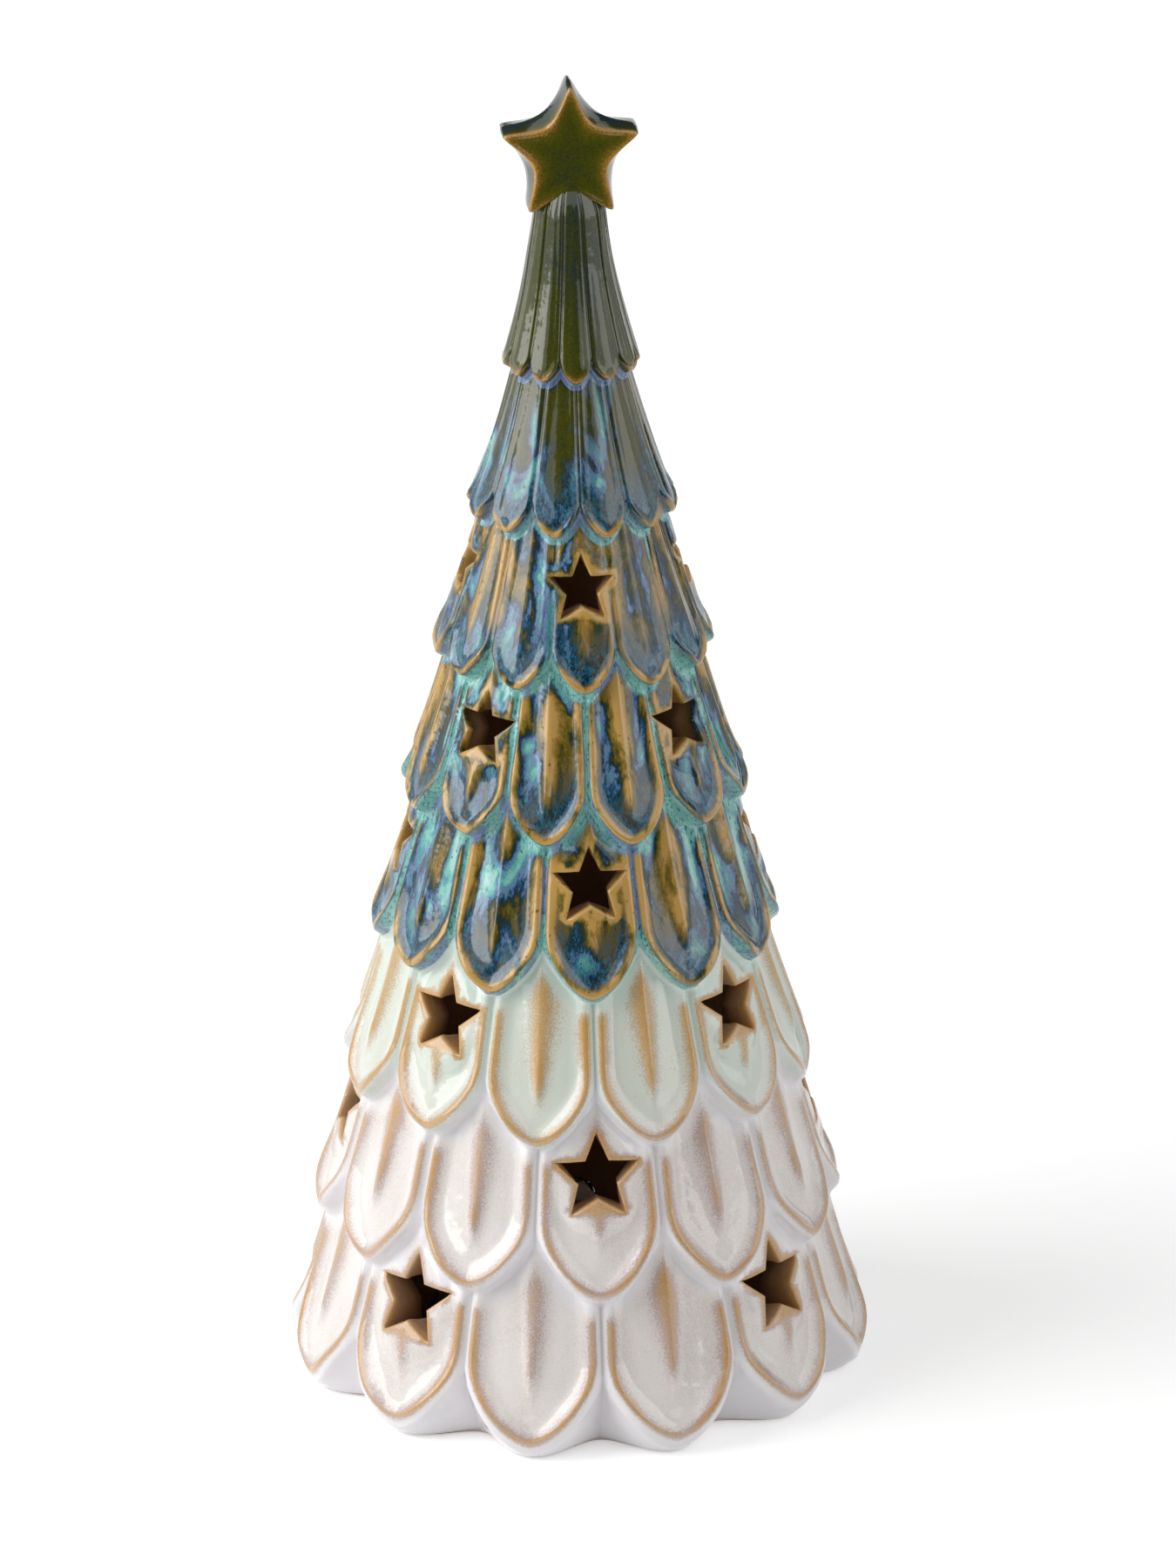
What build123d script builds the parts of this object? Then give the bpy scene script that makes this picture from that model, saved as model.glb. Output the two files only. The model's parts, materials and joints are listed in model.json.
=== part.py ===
from build123d import *

import os
from math import atan2, cos, degrees, radians, sin, tan

# A ceramic Christmas tree lantern, lit by a battery lamp plug in its foot, as separate pieces.
# Millimetres, +Z up. The origin is on the floor, on the tree's axis, and the tree's front faces -Y.

# Tree: overall size and petals
TREE_HEIGHT = 300.0  # floor to the star's tip
TIER_COUNT = 8  # rows of petals, counted from the top
PETAL_COUNT = 12  # petals in each row
TOP_TIER_LENGTH = 36.2  # top petals, from tip to neck
LOWEST_TIP_RISE = 3.0  # lowest petal tips above the floor
TOP_BELLY_RADIUS = 15.3  # widest radius of the top petals
BASE_BELLY_RADIUS = 65.0  # widest radius of the bottom petals
SIDE_BOW = 1.9  # how far the side bows out halfway down
BELLY_SHARE = 0.4  # height of a petal's widest place, as a share of its scallop
TIP_TUCK = 1.5  # petal tip in from its widest place
PETAL_FLARE = 0.8  # hollow of a petal's side below a straight line
GROOVE_DEPTH = 1.8  # valley between two petals
NECK_GROOVE_DEPTH = 0.8  # the same valley where it starts
PETAL_STEP = 1.3  # a petal's edge above the row that comes out under it
TOP_SCALLOP_RATIO = 0.56  # scallop depth to petal width, top row
BASE_SCALLOP_RATIO = 0.47  # the same on the bottom row
SCALLOP_MIDDLE = 0.31  # height of a scallop's edge halfway across it, as a share of its depth
TIER_SPANS = 4  # sections of a petal above its widest place
RIM_SHARE = 0.87  # raised rim of a petal, as a share of the way from its middle to the valley
FLUTE_DEPTH = 1.4  # hollow between rim and rib on a petal of full width
RIB_RISE = 0.3  # rib in a petal's middle, above its rim
FULL_HALF_WIDTH = 14.0  # half width of a petal with the full relief
LAST_RIBLESS_TIER = 2
FIRST_RIBBED_TIER = 4  # from here on the ribs are full
TIER_OVERLAP = 3.0  # how far a row runs up behind the row above
WALL = 5.0  # thinnest ceramic wall
CAVITY_CLOSE = 10.0  # length of the hollow's pointed end
MERGE = 2.0  # how far shapes of one casting run into each other

# Tree: foot
FOOT_RADIUS = 60.5  # lobes on the floor
FOOT_VALLEY_RADIUS = 51.5  # between the lobes on the floor
FOOT_GROOVE_DEPTH = 8.0  # valley between the lobes, level with the widest place of the lowest petals
FOOT_INNER_RADIUS = 44.0  # hollow under the floor plate
FOOT_RECESS = 4.0  # floor plate's underside above the floor
FLOOR_THICKNESS = 5.0
SOCKET_RADIUS = 34.0  # hole in the floor plate

# Tree: star on top
STAR_RADIUS = 17.4  # to its sharp points, before they are rounded
STAR_INNER_RADIUS = 8.8
STAR_HALF_THICKNESS = 5.5
STAR_TAPER = 16.0  # degrees that its sides lean in, from the middle to each face
STAR_POINT_ROUND = 1.4
STAR_CREASE_ROUND = 2.0
NECK_RADIUS = 7.8
NECK_DROP = 13.0  # neck below the star's centre
NECK_CAP = 9.0  # rounded top of the neck inside the star
NECK_CAP_RADIUS = 4.5

# Tree: star windows
FIRST_WINDOW_TIER = 3
WINDOWS_PER_TIER = 4
SMALL_WINDOW_RADIUS = 7.7  # on the first window row
LARGE_WINDOW_RADIUS = 10.3  # on the bottom row
WINDOW_WAIST = 0.46  # inner radius to outer radius
WINDOW_ROUND = 0.7
SMALL_WINDOW_RISE = 22.5  # window centre above its petal's tip, first window row
LARGE_WINDOW_RISE = 28.7  # the same on the bottom row

# Lamp plug: housing and seal
SEAL_CLEARANCE = 0.15  # seal to the tree's socket
SEAL_THICKNESS = 2.0
SEAL_BAND = 0.9  # plain band of the seal under its fins
SEAL_FIN = 1.0
SEAL_FINS = 3
PLUG_FLANGE_RADIUS = 39.0
PLUG_FLOOR = 2.4
PLUG_DEPTH = 16.0  # wall above the flange
PLUG_WALL = 2.0
COVER_THICKNESS = 2.0
COVER_EDGE_ROUND = 0.8

# Lamp plug: two AAA cells in their bay
CELL_RADIUS = 5.25
CELL_LENGTH = 43.5
NUB_RADIUS = 1.9
NUB_LENGTH = 1.0
CELL_RIM = 0.5
CELL_GAP = 0.7
CELL_SIDE_GAP = 0.5
CELL_LIFT = 0.4  # cells above the plug's floor
BAY_WALL = 1.2
BAY_ROOF = 1.2
CONTACT_THICKNESS = 0.4
CONTACT_WIDTH = 8.0
CONTACT_HEIGHT = 9.0
CONTACT_GAP = 0.2
TAB_WIDTH = 3.0
TAB_RISE = 2.4  # solder tab above the bay's roof
SPRING_LENGTH = 3.0
SPRING_RADIUS = 3.0
SPRING_WIRE = 0.35
SPRING_PITCH = 1.1

# Lamp plug: battery door
DOOR_THICKNESS = 1.4
DOOR_LIP = 1.2
DOOR_GAP = 0.3
DOOR_BARREL_RADIUS = 1.1
DOOR_BARREL_LENGTH = 36.0
DOOR_PIN_RADIUS = 0.7
DOOR_PIN_LENGTH = 1.5
DOOR_PIN_CLEARANCE = 0.1
DOOR_LEAF = 1.5  # gap between the hinge barrel and the door's edge, bridged along the barrel
DOOR_TAB_LENGTH = 8.0
DOOR_TAB_WIDTH = 2.4
DOOR_GRIP = 0.5
DOOR_GRIPS = 5
DOOR_GRIP_LENGTH = 14.0
DOOR_GRIP_WIDTH = 0.8
DOOR_GRIP_PITCH = 2.0

# Lamp plug: circuit board and switch
BOARD_LENGTH = 24.0
BOARD_WIDTH = 10.0
BOARD_THICKNESS = 1.2
BOARD_Y = 19.5
BOARD_POST_X = 10.0
BOARD_POST_RADIUS = 1.8
BOARD_SCREW_RADIUS = 0.8
BOARD_SCREW_HEAD_RADIUS = 1.6
BOARD_SCREW_HEAD = 1.0
BOARD_SCREW_LENGTH = 3.6
SWITCH_LENGTH = 8.6
SWITCH_WIDTH = 4.4
SWITCH_HEIGHT = 3.6
SWITCH_WALL = 0.5
SWITCH_LIFT = 0.3
SWITCH_TRAVEL = 2.0
SWITCH_PLAY = 0.2
KNOB_LENGTH = 2.2
KNOB_WIDTH = 1.8
SLIDER_LENGTH = 3.2
SLIDER_HEIGHT = 1.5
FINGER_RECESS_LENGTH = 13.0
FINGER_RECESS_WIDTH = 7.0
FINGER_RECESS_DEPTH = 1.0
CHIP_LENGTH = 5.0
CHIP_WIDTH = 4.0
CHIP_HEIGHT = 1.6
CHIP_X = 5.5
RESISTOR_LENGTH = 3.2
RESISTOR_WIDTH = 1.6
RESISTOR_HEIGHT = 0.8

# Lamp plug: cover screws
BOSS_RADIUS = 2.4
BOSS_PLACES = ((-21.5, 17.5), (21.5, 17.5), (0.0, -26.5))
COVER_SCREW_RADIUS = 1.1
COVER_SCREW_GAP = 0.3
COVER_SCREW_HEAD_RADIUS = 2.3
COVER_SCREW_HEAD = 1.5
COVER_SCREW_LENGTH = 9.0
SCREW_SLOT_WIDTH = 0.6
SCREW_SLOT_DEPTH = 0.5

# Lamp plug: lamp and wires
LAMP_TOP = 41.5  # top of the lens above the floor
LENS_RADIUS = 4.0
LENS_FLANGE_RADIUS = 4.6
LENS_FLANGE = 1.2
LENS_LENGTH = 10.8
LENS_GAP = 0.1
POST_WALL = 1.6
POST_BORE_RADIUS = 3.2
EMITTER_RADIUS = 1.7
EMITTER_HEIGHT = 3.2
LEAD_SPACING = 2.54
LEAD_SIZE = 0.5
LEAD_LENGTH = 6.0
WIRE_RADIUS = 0.6
WIRE_BEND = 1.5
LAMP_WIRE_Y = 16.0  # where the wires come down on the board
BATTERY_WIRE_RED_X = -4.5
BATTERY_WIRE_BLACK_X = -7.5

# Places that follow from the sizes above
PETAL_ANGLE = 360.0 / PETAL_COUNT
STAR_POINT_HALF_ANGLE = atan2(
    STAR_INNER_RADIUS * sin(radians(36)), STAR_RADIUS - STAR_INNER_RADIUS * cos(radians(36))
)
STAR_POINT_LOSS = STAR_POINT_ROUND * (1 / sin(STAR_POINT_HALF_ANGLE) - 1)
STAR_CENTRE = TREE_HEIGHT - STAR_RADIUS + STAR_POINT_LOSS
NECK_HEIGHT = STAR_CENTRE - NECK_DROP
TIER_PITCH = (NECK_HEIGHT - TOP_TIER_LENGTH - LOWEST_TIP_RISE) / (TIER_COUNT - 1)
FLOOR_TOP = FOOT_RECESS + FLOOR_THICKNESS
PLUG_RADIUS = SOCKET_RADIUS - SEAL_CLEARANCE - SEAL_THICKNESS
PLUG_BOTTOM = FOOT_RECESS - PLUG_FLOOR
PLUG_TOP = FOOT_RECESS + PLUG_DEPTH
COVER_TOP = PLUG_TOP + COVER_THICKNESS
BAY_LENGTH = CELL_LENGTH + NUB_LENGTH + SPRING_LENGTH + 2 * CONTACT_THICKNESS
BAY_WIDTH = 4 * CELL_RADIUS + CELL_GAP + 2 * CELL_SIDE_GAP
CELL_Y = CELL_RADIUS + CELL_GAP / 2
CELL_Z = FOOT_RECESS + CELL_LIFT + CELL_RADIUS
BAY_TOP = CELL_Z + CELL_RADIUS + CELL_LIFT
ROOF_TOP = BAY_TOP + BAY_ROOF
CONTACT_X = BAY_LENGTH / 2 - CONTACT_THICKNESS
CONTACT_MIDDLE = BAY_LENGTH / 2 - CONTACT_THICKNESS / 2
DOOR_HALF_LENGTH = BAY_LENGTH / 2 + DOOR_LIP
DOOR_HALF_WIDTH = BAY_WIDTH / 2 + DOOR_LIP
DOOR_HINGE_Y = -DOOR_HALF_WIDTH - DOOR_LEAF - DOOR_BARREL_RADIUS
DOOR_SLOT_Y = DOOR_HINGE_Y - DOOR_BARREL_RADIUS - DOOR_GAP
DOOR_HINGE_Z = PLUG_BOTTOM + DOOR_BARREL_RADIUS
SWITCH_BOTTOM = FOOT_RECESS + SWITCH_LIFT
BOARD_BOTTOM = SWITCH_BOTTOM + SWITCH_HEIGHT
BOARD_TOP = BOARD_BOTTOM + BOARD_THICKNESS
LENS_BOTTOM = LAMP_TOP - LENS_LENGTH
POST_RADIUS = LENS_FLANGE_RADIUS + LENS_GAP + POST_WALL
LEAD_BOTTOM = LENS_BOTTOM - LEAD_LENGTH
WIRE_LEVEL = (ROOF_TOP + PLUG_TOP) / 2


def ring_point(radius, angle):
    """A plan point on a circle, with the angle counted from the front towards +X."""
    return (radius * sin(radians(angle)), -radius * cos(radians(angle)))


def radial_plane(angle, radius, height=0.0, lean=0.0):
    """A plane that looks outwards from the axis, its Y up, tipped back by the lean."""
    x, y = ring_point(radius, angle)
    out_x, out_y = ring_point(cos(radians(lean)), angle)
    side = (cos(radians(angle)), sin(radians(angle)), 0)
    return Plane(origin=(x, y, height), x_dir=side, z_dir=(out_x, out_y, sin(radians(lean))))


def tier_share(tier, first=1):
    """How far down the tree a row lies, from 0 at the first row given to 1 at the bottom row."""
    return (tier - first) / (TIER_COUNT - first)


def petal_turn(tier):
    """Odd rows have a petal at the front, and even rows have a valley there."""
    return 0.0 if tier % 2 else PETAL_ANGLE / 2


def tip_height(tier):
    return LOWEST_TIP_RISE + (TIER_COUNT - tier) * TIER_PITCH


def belly_radius(tier):
    share = tier_share(tier)
    straight = TOP_BELLY_RADIUS + (BASE_BELLY_RADIUS - TOP_BELLY_RADIUS) * share
    return straight + 4 * SIDE_BOW * share * (1 - share)


def tip_radius(tier):
    return belly_radius(tier) - TIP_TUCK


def scallop_half_width(tier):
    return tip_radius(tier) * sin(radians(PETAL_ANGLE / 2))


def scallop_depth(tier):
    ratio = TOP_SCALLOP_RATIO + (BASE_SCALLOP_RATIO - TOP_SCALLOP_RATIO) * tier_share(tier)
    return ratio * 2 * scallop_half_width(tier)


def belly_height(tier):
    return tip_height(tier) + BELLY_SHARE * scallop_depth(tier)


def top_height(tier):
    """Where a row starts: at the neck, or behind the notches of the row above."""
    if tier == 1:
        return NECK_HEIGHT
    return tip_height(tier - 1) + scallop_depth(tier - 1) + TIER_OVERLAP


def top_radius(tier):
    if tier == 1:
        return NECK_RADIUS
    return crest_radius(tier - 1, top_height(tier)) - GROOVE_DEPTH - PETAL_STEP


def crest_radius(tier, height):
    """The middle of a petal, on a straight line from its widest place to its start."""
    share = (height - belly_height(tier)) / (top_height(tier) - belly_height(tier))
    return belly_radius(tier) + (top_radius(tier) - belly_radius(tier)) * share


def wall_inside(tier):
    """Inner radius of the wall behind the tips of a row, under the row that comes out there."""
    return crest_radius(tier + 1, tip_height(tier)) - GROOVE_DEPTH - WALL


def relief_size(tier):
    """How strong the relief of a row's petals is: narrower petals have less."""
    return min(scallop_half_width(tier) / FULL_HALF_WIDTH, 1.0)


def rib_share(tier):
    """The top rows have no ribs, and those below have more and more of them."""
    share = (tier - LAST_RIBLESS_TIER) / (FIRST_RIBBED_TIER - LAST_RIBLESS_TIER)
    return min(max(share, 0.0), 1.0)


def lobed_section(height, crest, groove, turn):
    """A closed outline of one arc per petal, meeting in valleys."""
    valley = crest - groove
    half = PETAL_ANGLE / 2
    with BuildSketch(Plane.XY.offset(height)) as section:
        with BuildLine():
            for petal in range(PETAL_COUNT):
                middle = turn + petal * PETAL_ANGLE
                start = ring_point(valley, middle - half)
                end = ring_point(valley, middle + half)
                ThreePointArc(start, ring_point(crest, middle), end)
        make_face()
    return section.sketch


def petal_section(height, crest, groove, turn, flute, rib):
    """A closed outline of petals with a rim on each side and a rib between two flutes, meeting in valleys."""
    valley, hollow, ridge = crest - groove, crest - flute, crest - flute + rib
    half = PETAL_ANGLE / 2
    rim = RIM_SHARE * half
    with BuildSketch(Plane.XY.offset(height)) as section:
        with BuildLine():
            for petal in range(PETAL_COUNT):
                middle = turn + petal * PETAL_ANGLE
                left, right = ring_point(crest, middle - rim), ring_point(crest, middle + rim)
                top = ring_point(ridge, middle)
                Line(ring_point(valley, middle - half), left)
                ThreePointArc(left, ring_point(hollow, middle - rim / 2), top)
                ThreePointArc(top, ring_point(hollow, middle + rim / 2), right)
                Line(right, ring_point(valley, middle + half))
        make_face()
    return section.sketch


def star_points(radius, inner_radius):
    """Ten corners of an upright five-pointed star."""
    radii = [inner_radius if corner % 2 else radius for corner in range(10)]
    angles = [radians(90 + 36 * corner) for corner in range(10)]
    return [(r * cos(a), r * sin(a)) for r, a in zip(radii, angles)]


def petal_tier(tier):
    """One row of petals as a full bell, scalloped along its lower edge."""
    turn = petal_turn(tier)
    tip, belly, top = tip_height(tier), belly_height(tier), top_height(tier)
    half, depth = scallop_half_width(tier), scallop_depth(tier)
    flute = FLUTE_DEPTH * relief_size(tier)
    rib = (flute + RIB_RISE) * rib_share(tier)
    sections = [petal_section(tip - MERGE, tip_radius(tier) - TIP_TUCK, GROOVE_DEPTH, turn, 0.0, 0.0)]
    for span in range(TIER_SPANS + 1):
        share = span / TIER_SPANS
        height = belly + (top - belly) * share
        crest = crest_radius(tier, height) - 4 * PETAL_FLARE * share * (1 - share)
        groove = GROOVE_DEPTH + (NECK_GROOVE_DEPTH - GROOVE_DEPTH) * share
        sections.append(petal_section(height, crest, groove, turn, flute, rib if span else 0.0))
    side_x, side_z = half / 2, tip + SCALLOP_MIDDLE * depth
    start_radius = top_radius(tier) / 2
    valleys = [turn + (valley + 0.5) * PETAL_ANGLE for valley in range(PETAL_COUNT)]
    with BuildPart() as bell:
        loft(sections)
        with BuildSketch(*[radial_plane(angle, start_radius) for angle in valleys]):
            with BuildLine():
                ThreePointArc((0, tip + depth), (side_x, side_z), (half, tip))
                Polyline(
                    (half, tip),
                    (half + MERGE, tip - MERGE),
                    (half + MERGE, tip - 2 * MERGE),
                    (-half - MERGE, tip - 2 * MERGE),
                    (-half - MERGE, tip - MERGE),
                    (-half, tip),
                )
                ThreePointArc((-half, tip), (-side_x, side_z), (0, tip + depth))
            make_face()
        extrude(amount=belly_radius(tier) + MERGE - start_radius, mode=Mode.SUBTRACT)
    return bell.part


def foot_skirt():
    """The lobed foot that shows between the lowest petal tips and stands on the floor."""
    turn = petal_turn(TIER_COUNT)
    belly = belly_height(TIER_COUNT)
    top = tip_height(TIER_COUNT) + scallop_depth(TIER_COUNT) + TIER_OVERLAP
    belly_crest = belly_radius(TIER_COUNT) - PETAL_STEP
    top_crest = crest_radius(TIER_COUNT, top) - GROOVE_DEPTH - PETAL_STEP
    with BuildPart() as skirt:
        loft(
            [
                lobed_section(0, FOOT_RADIUS, FOOT_RADIUS - FOOT_VALLEY_RADIUS, turn),
                lobed_section(belly, belly_crest, FOOT_GROOVE_DEPTH, turn),
                lobed_section(top, top_crest, NECK_GROOVE_DEPTH, turn),
            ]
        )
    return skirt.part


def window_planes(tier):
    """Where the star windows of one row look out, square to the leaning wall."""
    share = tier_share(tier, FIRST_WINDOW_TIER)
    rise = SMALL_WINDOW_RISE + (LARGE_WINDOW_RISE - SMALL_WINDOW_RISE) * share
    height = tip_height(tier) + rise
    lean = degrees(atan2(BASE_BELLY_RADIUS - TOP_BELLY_RADIUS, tip_height(1) - tip_height(TIER_COUNT)))
    spread = 360.0 / WINDOWS_PER_TIER
    first = 0.0 if tier % 2 else spread / 2
    depth = GROOVE_DEPTH + 2 * WALL
    inside = crest_radius(tier, height) - depth
    drop = depth * tan(radians(lean))
    angles = [first + spread * window for window in range(WINDOWS_PER_TIER)]
    return [radial_plane(angle, inside, height - drop, lean) for angle in angles]


def window_radius(tier):
    share = tier_share(tier, FIRST_WINDOW_TIER)
    return SMALL_WINDOW_RADIUS + (LARGE_WINDOW_RADIUS - SMALL_WINDOW_RADIUS) * share


def held_wire(start, *corners):
    """A thin insulated wire along straight runs with rounded corners."""
    with BuildPart() as wire:
        with BuildLine() as path:
            FilletPolyline(start, *corners, radius=WIRE_BEND)
        with BuildSketch(Plane(origin=path.line @ 0, z_dir=path.line % 0)):
            Circle(WIRE_RADIUS)
        sweep()
    return wire


def write_part(builder, node):
    """Label a finished piece and write it."""
    builder.part.label = node
    export_step(builder.part, f"parts/{node}.step")


os.makedirs("parts", exist_ok=True)

# Tree: rows of petals, foot and star as one hollow casting
petal_tiers = [petal_tier(tier) for tier in range(1, TIER_COUNT + 1)]
skirt = foot_skirt()
with BuildPart() as tree_shell:
    add(petal_tiers)
    add(skirt)
    with BuildSketch(Plane.XY.offset(NECK_HEIGHT - MERGE)):
        Circle(NECK_RADIUS - NECK_GROOVE_DEPTH)
    with BuildSketch(Plane.XY.offset(NECK_HEIGHT - MERGE + NECK_CAP)):
        Circle(NECK_CAP_RADIUS)
    loft()
    with BuildSketch(Plane(origin=(0, 0, STAR_CENTRE), x_dir=(1, 0, 0), z_dir=(0, -1, 0))) as star_face:
        with BuildLine():
            Polyline(star_points(STAR_RADIUS, STAR_INNER_RADIUS), close=True)
        make_face()
        by_reach = star_face.vertices().sort_by_distance((0, 0, 0))
        fillet(by_reach[5:], STAR_POINT_ROUND)
        fillet(by_reach[:5], STAR_CREASE_ROUND)
    extrude(amount=STAR_HALF_THICKNESS, both=True, taper=STAR_TAPER)
    with BuildSketch(Plane.XZ):
        with BuildLine():
            inside_line = [(wall_inside(tier), tip_height(tier)) for tier in range(TIER_COUNT - 1, 0, -1)]
            Polyline(
                (0, FLOOR_TOP),
                (FOOT_VALLEY_RADIUS - WALL, FLOOR_TOP),
                *inside_line,
                (0, tip_height(1) + CAVITY_CLOSE),
                close=True,
            )
        make_face()
    revolve(axis=Axis.Z, mode=Mode.SUBTRACT)
    with BuildSketch():
        Circle(FOOT_INNER_RADIUS)
    extrude(amount=FOOT_RECESS, mode=Mode.SUBTRACT)
    with BuildSketch():
        Circle(SOCKET_RADIUS)
    extrude(amount=FLOOR_TOP + MERGE, mode=Mode.SUBTRACT)
    for tier in range(FIRST_WINDOW_TIER, TIER_COUNT + 1):
        radius = window_radius(tier)
        with BuildSketch(*window_planes(tier)) as window:
            with BuildLine():
                Polyline(star_points(radius, WINDOW_WAIST * radius), close=True)
            make_face()
            fillet(window.vertices(), WINDOW_ROUND)
    extrude(amount=3 * WALL + GROOVE_DEPTH, mode=Mode.SUBTRACT)
write_part(tree_shell, "tree_shell")

# Lamp plug: housing with its flange, wall, battery bay, bosses and board posts
with BuildPart() as plug_housing:
    with BuildSketch(Plane.XY.offset(PLUG_BOTTOM)):
        Circle(PLUG_FLANGE_RADIUS)
    extrude(amount=PLUG_FLOOR)
    with BuildSketch(Plane.XY.offset(FOOT_RECESS)):
        Circle(PLUG_RADIUS)
        Circle(PLUG_RADIUS - PLUG_WALL, mode=Mode.SUBTRACT)
    extrude(amount=PLUG_DEPTH)
    with BuildSketch(Plane.XY.offset(FOOT_RECESS)):
        Rectangle(BAY_LENGTH + 2 * BAY_WALL, BAY_WIDTH + 2 * BAY_WALL)
    extrude(amount=ROOF_TOP - FOOT_RECESS)
    with BuildSketch(Plane.XY.offset(FOOT_RECESS)):
        with Locations(*BOSS_PLACES):
            Circle(BOSS_RADIUS)
    extrude(amount=PLUG_DEPTH)
    with BuildSketch(Plane.XY.offset(FOOT_RECESS)):
        with Locations((-BOARD_POST_X, BOARD_Y), (BOARD_POST_X, BOARD_Y)):
            Circle(BOARD_POST_RADIUS)
    extrude(amount=BOARD_BOTTOM - FOOT_RECESS)
    with BuildSketch(Plane.XY.offset(BAY_TOP)):
        Rectangle(BAY_LENGTH, BAY_WIDTH)
    extrude(amount=PLUG_BOTTOM - BAY_TOP, mode=Mode.SUBTRACT)
    with BuildSketch(Plane.XY.offset(PLUG_BOTTOM)):
        Rectangle(2 * (DOOR_HALF_LENGTH + DOOR_GAP), 2 * (DOOR_HALF_WIDTH + DOOR_GAP))
        with Locations((0, DOOR_HALF_WIDTH)):
            Rectangle(DOOR_TAB_LENGTH + 2 * DOOR_GAP, 2 * (DOOR_TAB_WIDTH + DOOR_GAP))
    extrude(amount=DOOR_THICKNESS + DOOR_GAP, mode=Mode.SUBTRACT)
    with BuildSketch(Plane.XY.offset(PLUG_BOTTOM)):
        with Locations((0, (DOOR_SLOT_Y - DOOR_HALF_WIDTH) / 2)):
            Rectangle(DOOR_BARREL_LENGTH + 2 * DOOR_GAP, -DOOR_SLOT_Y - DOOR_HALF_WIDTH)
    extrude(amount=PLUG_FLOOR, mode=Mode.SUBTRACT)
    with BuildSketch(Plane.YZ):
        with Locations((DOOR_HINGE_Y, DOOR_HINGE_Z)):
            Circle(DOOR_PIN_RADIUS + DOOR_PIN_CLEARANCE)
    extrude(
        amount=DOOR_BARREL_LENGTH / 2 + DOOR_PIN_LENGTH + DOOR_GAP,
        both=True,
        mode=Mode.SUBTRACT,
    )
    with BuildSketch(Plane.XY.offset(PLUG_BOTTOM)):
        with Locations((0, BOARD_Y)):
            SlotOverall(FINGER_RECESS_LENGTH, FINGER_RECESS_WIDTH)
    extrude(amount=FINGER_RECESS_DEPTH, mode=Mode.SUBTRACT)
    with BuildSketch(Plane.XY.offset(PLUG_BOTTOM)):
        with Locations((0, BOARD_Y)):
            Rectangle(KNOB_LENGTH + 2 * (SWITCH_TRAVEL + DOOR_GAP), KNOB_WIDTH + 2 * DOOR_GAP)
    extrude(amount=PLUG_FLOOR, mode=Mode.SUBTRACT)
    with BuildSketch(Plane.XY.offset(BAY_TOP)):
        with Locations((-CONTACT_MIDDLE, -CELL_Y), (-CONTACT_MIDDLE, CELL_Y)):
            Rectangle(CONTACT_THICKNESS, TAB_WIDTH + CONTACT_GAP)
    extrude(amount=BAY_ROOF, mode=Mode.SUBTRACT)
    with BuildSketch(Plane.XY.offset(PLUG_TOP)):
        with Locations(*BOSS_PLACES):
            Circle(COVER_SCREW_RADIUS)
    extrude(amount=COVER_THICKNESS - COVER_SCREW_LENGTH, mode=Mode.SUBTRACT)
    with BuildSketch(Plane.XY.offset(BOARD_BOTTOM)):
        with Locations((-BOARD_POST_X, BOARD_Y), (BOARD_POST_X, BOARD_Y)):
            Circle(BOARD_SCREW_RADIUS)
    extrude(amount=BOARD_THICKNESS - BOARD_SCREW_LENGTH, mode=Mode.SUBTRACT)
write_part(plug_housing, "plug_housing")

# Lamp plug: rubber seal with fins that grip the tree's socket
with BuildPart() as plug_seal:
    with BuildSketch(Plane.XZ):
        with BuildLine():
            fin_pitch = (FLOOR_THICKNESS - SEAL_FIN) / (SEAL_FINS - 1)
            fin_corners = []
            for fin in range(SEAL_FINS):
                fin_bottom = FOOT_RECESS + fin * fin_pitch
                fin_corners += [
                    (PLUG_RADIUS + SEAL_BAND, fin_bottom),
                    (PLUG_RADIUS + SEAL_THICKNESS, fin_bottom),
                    (PLUG_RADIUS + SEAL_THICKNESS, fin_bottom + SEAL_FIN / 2),
                    (PLUG_RADIUS + SEAL_BAND, fin_bottom + SEAL_FIN),
                ]
            Polyline(
                (PLUG_RADIUS, FOOT_RECESS),
                *fin_corners,
                (PLUG_RADIUS, FLOOR_TOP),
                close=True,
            )
        make_face()
    revolve(axis=Axis.Z)
write_part(plug_seal, "plug_seal")

# Lamp plug: cover with the post that holds the lamp
with BuildPart() as plug_cover:
    with BuildSketch(Plane.XY.offset(PLUG_TOP)):
        Circle(PLUG_RADIUS)
        with Locations(*BOSS_PLACES):
            Circle(COVER_SCREW_RADIUS + COVER_SCREW_GAP, mode=Mode.SUBTRACT)
    extrude(amount=COVER_THICKNESS)
    fillet(plug_cover.faces().sort_by(Axis.Z)[-1].outer_wire().edges(), COVER_EDGE_ROUND)
    with BuildSketch(Plane.XY.offset(COVER_TOP)):
        Circle(POST_RADIUS)
    extrude(amount=LENS_BOTTOM + LENS_FLANGE - COVER_TOP)
    with BuildSketch(Plane.XY.offset(PLUG_TOP)):
        Circle(POST_BORE_RADIUS)
    extrude(amount=LENS_BOTTOM - PLUG_TOP, mode=Mode.SUBTRACT)
    with BuildSketch(Plane.XY.offset(LENS_BOTTOM)):
        Circle(LENS_FLANGE_RADIUS + LENS_GAP)
    extrude(amount=LENS_FLANGE, mode=Mode.SUBTRACT)
write_part(plug_cover, "plug_cover")


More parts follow.
